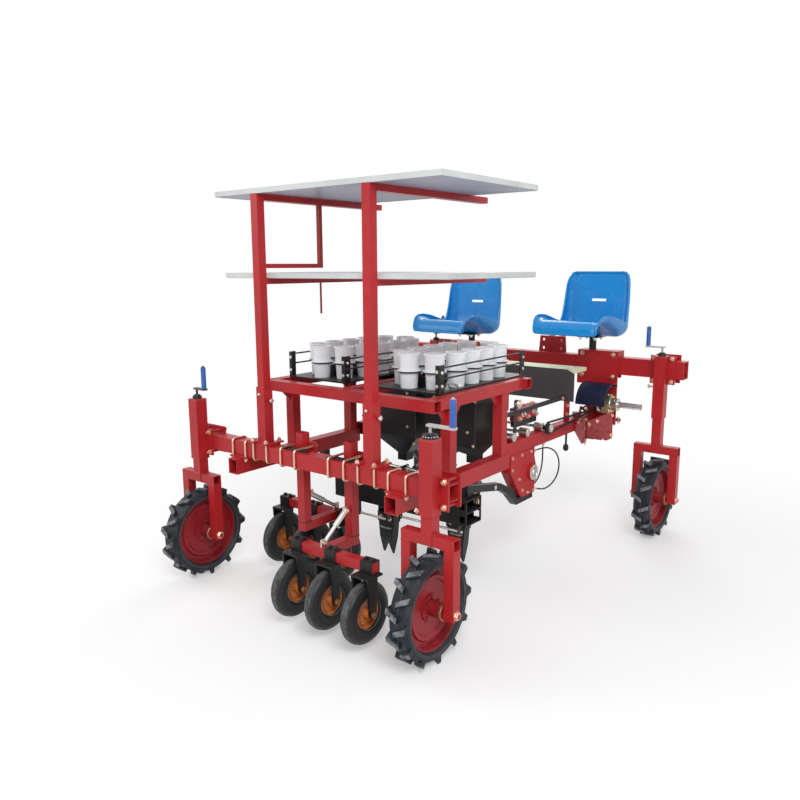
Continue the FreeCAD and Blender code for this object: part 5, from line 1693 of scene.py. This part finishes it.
# ---- drive side
@dataclass
class DriveTrim:
    """The covers, bolts, knobs and bearing fittings on the driven side, and the board's and stays' bolts."""

    case_bolts: tuple[Pair, ...] = (
        (-0.016, 0.592), (0.080, 0.592), (0.175, 0.592), (-0.014, 0.530), (0.055, 0.470), (0.090, 0.405),
        (0.150, 0.380), (0.205, 0.380), (0.225, 0.430))
    case_bolt: Hexagon = Hexagon(0.012, 0.006, 0.009)
    case_face: float = 0.478
    boss: Pair = (0.1858, 0.4807)
    boss_face: float = 0.492
    boss_bolts: int = 6
    boss_circle: float = 0.035
    boss_bolt: Hexagon = Hexagon(0.007, 0.003)
    boss_cover: Profile = ((0, 0), (0, 0.040), (0.003, 0.040), (0.004, 0.038), (0.004, 0.031),
                           (0.0025, 0.030), (0.0025, 0.016), (0.006, 0.015), (0.008, 0.013), (0.008, 0))
    knob_top: float = 0.640
    knob: Profile = ((0, 0), (0, 0.006), (0.070, 0.006), (0.072, 0.010), (0.078, 0.0145), (0.092, 0.016),
                     (0.104, 0.0135), (0.109, 0.007), (0.110, 0))
    point: Profile = ((-0.004, 0), (-0.004, 0.0036), (0.024, 0.0036), (0.034, 0))
    seal: Profile = ((0, 0.0205), (0, 0.034), (0.003, 0.033), (0.0035, 0.024), (0.002, 0.0205))
    nipple: Profile = ((0, 0), (0, 0.005), (0.004, 0.005), (0.005, 0.0025), (0.010, 0.0025), (0.0115, 0.0035),
                       (0.013, 0.002), (0.0135, 0))
    set_screw: Hexagon = Hexagon(0.012, 0.006)
    coupling: float = 0.0355
    coupling_x: float = 0.623
    coupling_half: float = 0.017
    end_ring: Profile = ((0, 0), (0, 0.0145), (0.0012, 0.013), (0.0012, 0))
    board_screw: Profile = ((0, 0), (0, 0.008), (0.0015, 0.0065), (0.0028, 0.003), (0.003, 0))
    bolts: Shaper = field(default_factory=Shaper)
    covers: Shaper = field(default_factory=Shaper)
    knobs: Shaper = field(default_factory=Shaper)
    caps: Shaper = field(default_factory=Shaper)

    def case(self) -> None:
        """Adds the case's cover bolts and its round cover."""
        for y, z in self.case_bolts:
            self.case_bolt.put(self.bolts, Vector((self.case_face, y, z)), ACROSS, y * 9)
        at = Vector((self.boss_face, *self.boss))
        self.covers.lathe(at, ACROSS, self.boss_cover, 56)
        for angle in turns(self.boss_bolts, 0.5):
            out = around(angle) * self.boss_circle
            self.boss_bolt.put(self.bolts, at + out + ACROSS * 0.004, ACROSS, angle)

    def rail(self) -> None:
        """Adds the bracket's bolts, the locking knob and the pointed stop bolt."""
        rail = solids("unit_rails")[-1]
        bracket = solids("drive_case")[-1]
        front = bracket.high.y - 0.022
        top = bracket.high.z - 0.020
        for y, z in ((bracket.low.y + 0.022, top), (front, top), (front, bracket.high.z - 0.070),
                     (bracket.high.y - 0.020, bracket.low.z + 0.020)):
            MEDIUM.put(self.bolts, Vector((bracket.high.x, y, z)), ACROSS, y * 7)
        self.knobs.lathe(Vector((rail.middle.x, self.knob_top, rail.low.z)), UP * -1, self.knob, 28)
        tip = Vector((bracket.middle.x, bracket.high.y - 0.008, bracket.low.z + 0.010))
        self.bolts.lathe(tip, UP * -1, self.point, 12)

    def rollers(self) -> None:
        """Adds the stepped ends and circlips of the rail rollers."""
        for rod in solids("bright_rods"):
            radius = rod.size.z / 2
            step = [(0, radius * 0.30), (0, radius * 0.78), (0.0016, radius * 0.76), (0.0016, radius * 0.50),
                    (0.0045, radius * 0.46), (0.0045, 0), (0, 0)]
            for side, end in ((-1, rod.low.x), (1, rod.high.x)):
                if rod.middle.z >= 0.66 and abs(end) >= 0.45:
                    self.caps.lathe(Vector((end, rod.middle.y, rod.middle.z)), ACROSS * side, step, 32)

    def bearing(self) -> None:
        """Adds the bearing's bolts, its seal ring and its grease nipple."""
        shaft = joint_place("spin_shaft")
        upper = max(solids("shaft_bearing"), key=lambda box: box.high.z)
        lower = min(solids("shaft_bearing"), key=lambda box: box.high.z)
        for y, z in ((-0.036, -0.036), (0.036, -0.036)):
            MEDIUM.put(self.bolts, Vector((upper.high.x, shaft.y + y, shaft.z + z)), ACROSS, 0.3)
        for z in (-0.030, 0.030):
            place = Vector((upper.low.x + 0.020, upper.high.y - 0.014, shaft.z + z))
            MEDIUM.put(self.bolts, place, ACROSS, 0.3)
        self.caps.lathe(Vector((upper.high.x, shaft.y, shaft.z)), ACROSS, self.seal, 48, closed=True)
        self.caps.lathe(Vector((upper.middle.x, shaft.y, upper.high.z - 0.0008)), UP, self.nipple, 16)
        front = lower.high.y - 0.020
        top = lower.high.z - 0.020
        for y, z in ((lower.low.y + 0.020, top), (front, lower.high.z - 0.022), (front, lower.low.z + 0.020),
                     (lower.low.y + 0.130, top)):
            MEDIUM.put(self.bolts, Vector((lower.high.x, y, z)), ACROSS, y * 5)

    def shaft(self) -> None:
        """Adds the coupling's set screws and rings and the shaft's end ring, which turn with it."""
        turning = Shaper()
        centre = joint_place("spin_shaft")
        for k in range(2):
            out = around(0.7 + math.pi / 2 * k)
            at = Vector((self.coupling_x, centre.y, centre.z)) + out * self.coupling
            self.set_screw.put(turning, at, out)
        end = span("drive_shaft").high.x
        turning.lathe(Vector((end, centre.y, centre.z)), ACROSS, self.end_ring, 40)
        for side in (-1, 1):
            at = Vector((self.coupling_x + side * self.coupling_half, centre.y, centre.z))
            turning.lathe(at, ACROSS, round_bead(self.coupling, 0.0014, thick=0.0012), 48, closed=True)
        turning.make("shaft_fittings", Coat.YELLOW_ZINC, "shaft")

    def board(self) -> None:
        """Adds the foot board's screws and the bolts of the screen's stays."""
        board = span("foot_board")
        for x in (-0.45, -0.15, 0.15, 0.45):
            for y in (board.low.y + 0.030, board.high.y - 0.030):
                self.bolts.lathe(Vector((x, y, board.high.z)), UP, self.board_screw, 18)
        for stay in solids("screen_stays"):
            outward = 1 if stay.middle.x > 0 else -1
            x = stay.high.x if outward > 0 else stay.low.x
            for z in (stay.low.z + 0.035, stay.low.z + 0.085, stay.high.z - 0.035):
                MEDIUM.put(self.bolts, Vector((x, stay.middle.y, z)), ACROSS * outward, z)

    def build(self) -> None:
        """Builds the driven side's trim."""
        self.case()
        self.rail()
        self.rollers()
        self.bearing()
        self.board()
        self.bolts.make("drive_bolts", Coat.COPPER_ZINC)
        self.covers.make("case_cover", Coat.ZINC, slot="bright_steel")
        self.knobs.make("lock_knob", Coat.KNOB, slot="black_paint")
        self.caps.make("roller_ends", Coat.ZINC, slot="bright_steel")
        self.shaft()


# ---- the chain drive beside the right-hand rail
@dataclass
class ChainDrive:
    """The roller chain from the drive shaft to the carrier, and the small parts round it.

    The small wheel and the idler hold their place along the machine, their height and their radius.
    """

    across: float = 0.508
    pitch: float = 0.0127
    big: float = 0.036
    small: Point = (0.304, 0.6963, 0.030)
    idler: Point = (0.740, 0.733, 0.020)
    plate: float = 0.0045
    bar: Pair = (0.800, 0.822)
    bar_x: Pair = (0.441, 0.455)
    leg_face: float = -0.120
    roller: Profile = ((0, 0), (0, 0.0018), (0.0030, 0.0018), (0.0030, 0.0040), (0.0082, 0.0040),
                       (0.0082, 0.0018), (0.0112, 0.0018), (0.0112, 0))
    cap: Profile = ((0, 0), (0, 0.0195), (0.004, 0.0205), (0.012, 0.0205), (0.0135, 0.019), (0.0135, 0.007),
                    (0.0115, 0.006), (0.0115, 0))
    idle_roller: Profile = ((0, 0), (0, 0.0215), (0.003, 0.0225), (0.018, 0.0225), (0.021, 0.021),
                            (0.021, 0.012), (0.019, 0.011), (0.019, 0))
    arm_foot: Point = (0.4865, 0.704, 0.656)
    carrier_x: Pair = (0.384, 0.426)
    carrier_over: float = 0.004
    dark: Shaper = field(default_factory=Shaper)
    red: Shaper = field(default_factory=Shaper)
    bright: Shaper = field(default_factory=Shaper)
    bolts: Shaper = field(default_factory=Shaper)

    def route(self) -> list[Vector]:
        """The chain's pins, one pitch apart.

        Returns:
            The pins as points of the chain's own plane.
        """
        shaft = joint_place("spin_shaft")
        wheels = [(Vector(self.small[:2]), self.small[2]), (Vector((shaft.y, shaft.z)), self.big),
                  (Vector(self.idler[:2]), -self.idler[2])]
        ends = []
        for (one, first), (two, second) in zip(wheels, wheels[1:] + wheels[:1]):
            line = two - one
            lean = math.asin((second - first) / line.length)
            along = Vector((line.x * math.cos(lean) + line.y * math.sin(lean),
                            line.y * math.cos(lean) - line.x * math.sin(lean))).normalized()
            left = Vector((-along.y, along.x))
            ends.append((one - left * first, two - left * second))
        path: list[Vector] = []
        for k, (begin, end) in enumerate(ends):
            path += [begin, end]
            centre, radius = wheels[(k + 1) % 3]
            leaving = ends[(k + 1) % 3][0]
            start = math.atan2(end.y - centre.y, end.x - centre.x)
            sweep = math.atan2(leaving.y - centre.y, leaving.x - centre.x) - start
            sweep = sweep % (2 * math.pi) if radius > 0 else -((-sweep) % (2 * math.pi))
            steps = max(2, round(abs(sweep * radius) / 0.002))
            for j in range(1, steps):
                angle = start + sweep * j / steps
                path.append(centre + Vector((math.cos(angle), math.sin(angle))) * abs(radius))
        lengths = [0.0]
        for one, two in zip(path, path[1:] + path[:1]):
            lengths.append(lengths[-1] + (two - one).length)
        count = round(lengths[-1] / self.pitch / 2) * 2
        pins, at = [], 0
        for k in range(count):
            want = lengths[-1] * k / count
            while lengths[at + 1] <= want:
                at += 1
            share = (want - lengths[at]) / (lengths[at + 1] - lengths[at])
            pins.append(path[at].lerp(path[(at + 1) % len(path)], share))
        return pins

    def chain(self) -> None:
        """Builds the chain's links and rollers."""
        plates, rollers = Shaper(), Shaper()
        pins = self.route()
        for k, (one, two) in enumerate(zip(pins, pins[1:] + pins[:1])):
            along = (two - one).normalized()
            left = Vector((-along.y, along.x))
            nose, edge, waist = along * 0.0034, left * 0.0022, left * 0.0036
            wide = left * self.plate
            middle = (one + two) / 2
            shape = [one - nose - edge, one - nose + edge, one + wide, middle + waist, two + wide,
                     two + nose + edge, two + nose - edge, two - wide, middle - waist, one - wide]
            for side in (-1, 1):
                x = self.across + side * (0.0032 if k % 2 else 0.0046)
                plates.panel([Vector((x - 0.0006, point.x, point.y)) for point in shape], ACROSS * 0.0012)
            rollers.lathe(Vector((self.across - 0.0056, one.x, one.y)), ACROSS, self.roller, 8)
        plates.make("chain_plates", Coat.OIL_BLACK)
        rollers.make("chain_rollers", Coat.OIL_BLACK)

    def wheel(self, shaper: Shaper, at: Vector, radius: float, hub: float) -> None:
        """Adds a grooved chain wheel.

        Args:
            shaper: gathers it.
            at: its middle.
            radius: the radius at which the chain's pins lie.
            hub: the radius of its hub.
        """
        inside = radius - 0.0052
        shaper.lathe(at, ACROSS, [(-0.012, 0), (-0.012, hub), (-0.0026, hub), (-0.0026, inside),
                                  (-0.0014, inside + 0.0008), (0.0014, inside + 0.0008), (0.0026, inside),
                                  (0.0026, hub), (0.006, hub), (0.006, 0)], 36)

    def tensioner(self) -> None:
        """Adds the idler, its stub and its arm."""
        idler = Vector((self.across, *self.idler[:2]))
        self.wheel(self.dark, idler, self.idler[2], 0.010)
        foot = Vector(self.arm_foot)
        arm = idler - foot
        arm.x = 0.0
        along = arm.normalized()
        wide = ACROSS.cross(along) * 0.011
        near = foot - along * 0.012
        far = foot + along * (arm.length + 0.011)
        outline = (near + wide, near - wide, far - wide * 0.9, far + wide * 0.9)
        self.red.panel([corner + ACROSS * -0.003 for corner in outline], ACROSS * 0.006)
        stub = Vector((0.4895, *self.idler[:2]))
        self.dark.lathe(stub, ACROSS, [(0, 0), (0, 0.0065), (0.010, 0.0065), (0.010, 0)], 18)
        MEDIUM.put(self.bolts, idler + ACROSS * 0.006, ACROSS, 0.2)
        for shift in (0.0, 0.022):
            MEDIUM.put(self.bolts, foot + along * shift + ACROSS * 0.003, ACROSS, 0.5)

    def carrier(self) -> None:
        """Adds the carrier that lies on the roller shafts, with its caps."""
        saddle = [rod for rod in solids("bright_rods") if rod.middle.z > 0.66 and rod.size.x > 0.3]
        low = min(rod.low.y for rod in saddle) - 0.006
        high = max(rod.high.y for rod in saddle) + 0.006
        top = max(rod.high.z for rod in saddle) + 0.0006
        near, far = self.carrier_x
        over = self.carrier_over
        self.dark.slab(Vector((near + over, low, top)), Vector((far - over, high, top + 0.030)), 0.002)
        self.red.slab(Vector((near, low - over, top + 0.0304)),
                      Vector((far, high + over, top + 0.098)), 0.003)
        for y in (low + 0.022, (low + high) / 2, high - 0.022):
            for z in (top + 0.044, top + 0.085):
                STOUT.put(self.bolts, Vector((far, y, z)), ACROSS, y * 9)
            MEDIUM.put(self.bolts, Vector(((near + far) / 2, y, top + 0.098)), UP, y * 5)
        for y, size in ((low + 0.055, 0.017), (high - 0.052, 0.014)):
            turned = [(0, 0), (0, size), (0.006, size), (0.008, size * 0.88), (0.008, size * 0.5),
                      (0.020, size * 0.46), (0.0215, size * 0.38), (0.0215, 0)]
            self.bright.lathe(Vector((far + 0.0002, y, top + 0.064)), ACROSS, turned, 28)

    def stands(self) -> None:
        """Adds the small wheel with its stub, the tensioner, the carrier and the idle roller."""
        small = Vector((self.across, *self.small[:2]))
        self.wheel(self.dark, small, self.small[2], 0.016)
        stub = Vector((0.4765, *self.small[:2]))
        self.dark.lathe(stub, ACROSS, [(0, 0), (0, 0.012), (0.024, 0.012), (0.024, 0)], 24)
        self.bright.lathe(small + ACROSS * 0.006, ACROSS, self.cap, 36)
        self.tensioner()
        self.carrier()
        table = span("table_frame")
        front = table.high.y - 0.025
        self.dark.slab(Vector((0.448, front - 0.014, 0.842)),
                       Vector((0.454, front + 0.014, table.low.z - 0.0004)), 0.001)
        self.bright.lathe(Vector((0.4545, front, 0.860)), ACROSS, self.idle_roller, 36)
        MEDIUM.put(self.bolts, Vector((0.473, front, 0.860)), ACROSS, 0.3)

    def bars(self) -> None:
        """Adds the level bars between the table's legs and the screen."""
        screen = solids("rear_screen")[0]
        for side in (-1, 1):
            near, far = sorted(side * x for x in self.bar_x)
            self.dark.slab(Vector((near, self.leg_face + 0.0004, self.bar[0])),
                           Vector((far, screen.low.y - 0.0004, self.bar[1])), 0.001)
            for y in (self.leg_face + 0.030, screen.low.y - 0.030):
                MEDIUM.put(self.bolts, Vector((side * self.bar_x[1], y, sum(self.bar) / 2)), ACROSS * side, y)

    def build(self) -> None:
        """Builds the chain and what stands round it."""
        self.chain()
        self.stands()
        self.bars()
        turning = Shaper()
        shaft = joint_place("spin_shaft")
        self.wheel(turning, Vector((self.across, shaft.y, shaft.z)), self.big, 0.0185)
        self.dark.make("chain_stands", Coat.OIL_BLACK)
        self.red.make("chain_carrier", Coat.RED_PAINT, slot="red_paint")
        self.bright.make("chain_caps", Coat.ZINC)
        self.bolts.make("chain_bolts", Coat.COPPER_ZINC)
        turning.make("chain_drive_wheel", Coat.OIL_BLACK, "shaft")


# ---- hitch
@dataclass
class HitchTrim:
    """Welds of the mast and its lugs, and the linch pins in the lower pins."""

    mast_half: float = 0.037
    bead: float = 0.0026
    linch_pin: Profile = ((0, 0), (0, 0.007), (0.010, 0.007), (0.011, 0.0045), (0.042, 0.0045),
                          (0.045, 0.003), (0.045, 0))
    ring: float = 0.019

    def linch(self, pins: Shaper, place: Vector, outward: float) -> None:
        """Adds one linch pin with its ring.

        Args:
            pins: gathers them.
            place: where the linch pin goes through the lower pin.
            outward: 1 on the right and -1 on the left.
        """
        pins.lathe(place + UP * 0.020, UP * -1, self.linch_pin, 16)
        size = self.ring
        ring = [place + UP * 0.014 + Vector((outward * 0.006, size * math.sin(a), -size + size * math.cos(a)))
                for a in turns(28)]
        pins.sweep(ring, 0.0017, 6, closed=True)

    def build(self) -> None:
        """Builds the hitch's trim."""
        welds, pins = Shaper(), Shaper()
        mast = span("hitch_mast")
        for side in (-1, 1):
            x = mast.middle.x + side * self.mast_half
            welds.sweep([Vector((x + side * 0.006, mast.low.y + 0.010, mast.low.z + 0.004 + k * WELD_STEP))
                         for k in range(36)], self.bead, 6, ripple=WELD_RIPPLE)
        for lug in solids("hitch_brackets"):
            outward = -1 if lug.middle.x < mast.middle.x else 1
            plate_x = lug.high.x - 0.008 if outward < 0 else lug.low.x + 0.008
            for side in (-1, 1):
                x = plate_x + side * 0.008
                welds.sweep([Vector((x, lug.low.y + 0.0012, lug.high.z - 0.004 - k * WELD_STEP))
                             for k in range(20)], self.bead, 6, ripple=WELD_RIPPLE)
            name = "lower_pin_left" if outward < 0 else "lower_pin_right"
            pin = next(mount for mount in frame["record"]["mounts"] if mount["name"] == name)
            place = Vector(pin["pos_m"])
            end = lug.low.x if outward < 0 else lug.high.x
            self.linch(pins, Vector((end - outward * 0.012, place.y, place.z)), outward)
        welds.make("hitch_welds", Coat.RED_PAINT, slot="red_paint")
        pins.make("linch_pins", Coat.ZINC, slot="bright_steel")


# ---- camera, light and floor
@dataclass
class Studio:
    """The camera, the lamps, the world and the floor."""

    at: Point = (2.2413, -3.1341, 1.5319)
    turn: Point = (79.7335, 0.2777, 38.3387)
    lens: float = 33.179
    sky: float = 0.62
    white: Colour = (1.0, 1.0, 1.0)

    def camera(self) -> None:
        """Sets the camera up."""
        data = bpy.data.cameras.new("camera")
        data.lens = self.lens
        data.sensor_width = 36.0
        data.clip_end = 200.0
        camera = bpy.data.objects.new("camera", data)
        camera.location = self.at
        camera.rotation_euler = Euler([math.radians(v) for v in self.turn], "XYZ")
        bpy.context.scene.collection.objects.link(camera)
        bpy.context.scene.camera = camera

    def lamp(self, name: str, place: Point, size: float, power: float) -> None:
        """Adds one soft square lamp that faces the machine's middle.

        Args:
            name: the lamp's name.
            place: where it stands.
            size: its side.
            power: its power in watts.
        """
        data = bpy.data.lights.new(name, "AREA")
        data.size = size
        data.energy = power
        lamp = bpy.data.objects.new(name, data)
        lamp.location = place
        aim = Vector((0.0, 0.0, 0.7)) - Vector(place)
        lamp.rotation_euler = aim.to_track_quat("-Z", "Y").to_euler()
        bpy.context.scene.collection.objects.link(lamp)

    def seen(self, nodes: Nodes) -> Value:
        """1 for the rays that should meet plain white, else 0."""
        ways = [nodes.node("ShaderNodeLightPath", output="Is %s Ray" % way)
                for way in ("Camera", "Glossy", "Transmission")]
        return ways[0].larger(ways[1]).larger(ways[2])

    def world(self) -> None:
        """A plain sky that the camera, mirrors and glass see as white."""
        world = bpy.data.worlds.new("studio")
        world.use_nodes = True
        nodes = Nodes(world.node_tree)
        background = world.node_tree.nodes["Background"]
        nodes.feed(background.inputs["Color"], self.white)
        nodes.feed(background.inputs["Strength"], self.seen(nodes) * (1.0 - self.sky) + self.sky)
        bpy.context.scene.world = world

    def floor(self) -> None:
        """A wide pale floor that turns plain white away from the machine."""
        rim = 48
        rings = [(0.0, 0.0)] + [(r * math.cos(2 * math.pi * k / rim), r * math.sin(2 * math.pi * k / rim))
                                for r in (4.0, 60.0) for k in range(rim)]
        faces = [(0, 1 + k, 1 + (k + 1) % rim) for k in range(rim)]
        faces += [(1 + k, 1 + rim + k, 1 + rim + (k + 1) % rim, 1 + (k + 1) % rim) for k in range(rim)]
        mesh = bpy.data.meshes.new("floor")
        mesh.from_pydata([(x, y, 0.0) for x, y in rings], [], faces)
        floor = bpy.data.objects.new("floor", mesh)
        bpy.context.scene.collection.objects.link(floor)
        s = Shader("floor")
        s.set(Base_Color=(0.93, 0.93, 0.93), Roughness=0.9)
        away = s.node("ShaderNodeVectorMath", {"operation": "LENGTH"}, {0: s.place()}, output=1)
        white = s.node("ShaderNodeEmission", {}, {"Color": self.white, "Strength": 1.0})
        shown = s.node("ShaderNodeMixShader", {}, {0: away.rise(1.3, 3.2).larger(0.3) * self.seen(s),
                                                  1: Value(s, s.surface.outputs[0]), 2: white})
        s.feed(s.tree.nodes["Material Output"].inputs["Surface"], shown)
        mesh.materials.append(s.material)

    def build(self) -> None:
        """Builds the whole studio."""
        bpy.context.scene.view_settings.view_transform = "Standard"
        self.camera()
        self.world()
        self.lamp("key", (3.4, -3.6, 4.4), 2.6, 190.0)
        self.lamp("fill", (-3.8, -2.4, 3.2), 3.0, 60.0)
        self.lamp("back", (-1.5, 4.2, 3.6), 3.0, 70.0)
        self.floor()


def main() -> None:
    """Builds the scene in order."""
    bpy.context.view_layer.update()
    Studio().build()
    Hoses().build()
    Dressing().dress()
    ToolbarClamps().build()
    WheelLegs().build()
    JackTrim().build()
    for corner in CORNERS:
        GroundWheel(corner).build()
    PressTrim().build()
    CupLoops().build()
    TableTrim().build()
    RackTrim().build()
    SaddleTrim().build()
    for side in ("left", "right"):
        SeatTrim(side).build()
    PlanterTrim().build()
    DriveTrim().build()
    ChainDrive().build()
    HitchTrim().build()
    log.info("size kept")


if __name__ == "__main__":
    logging.basicConfig(level=logging.INFO, format="%(message)s")
    main()
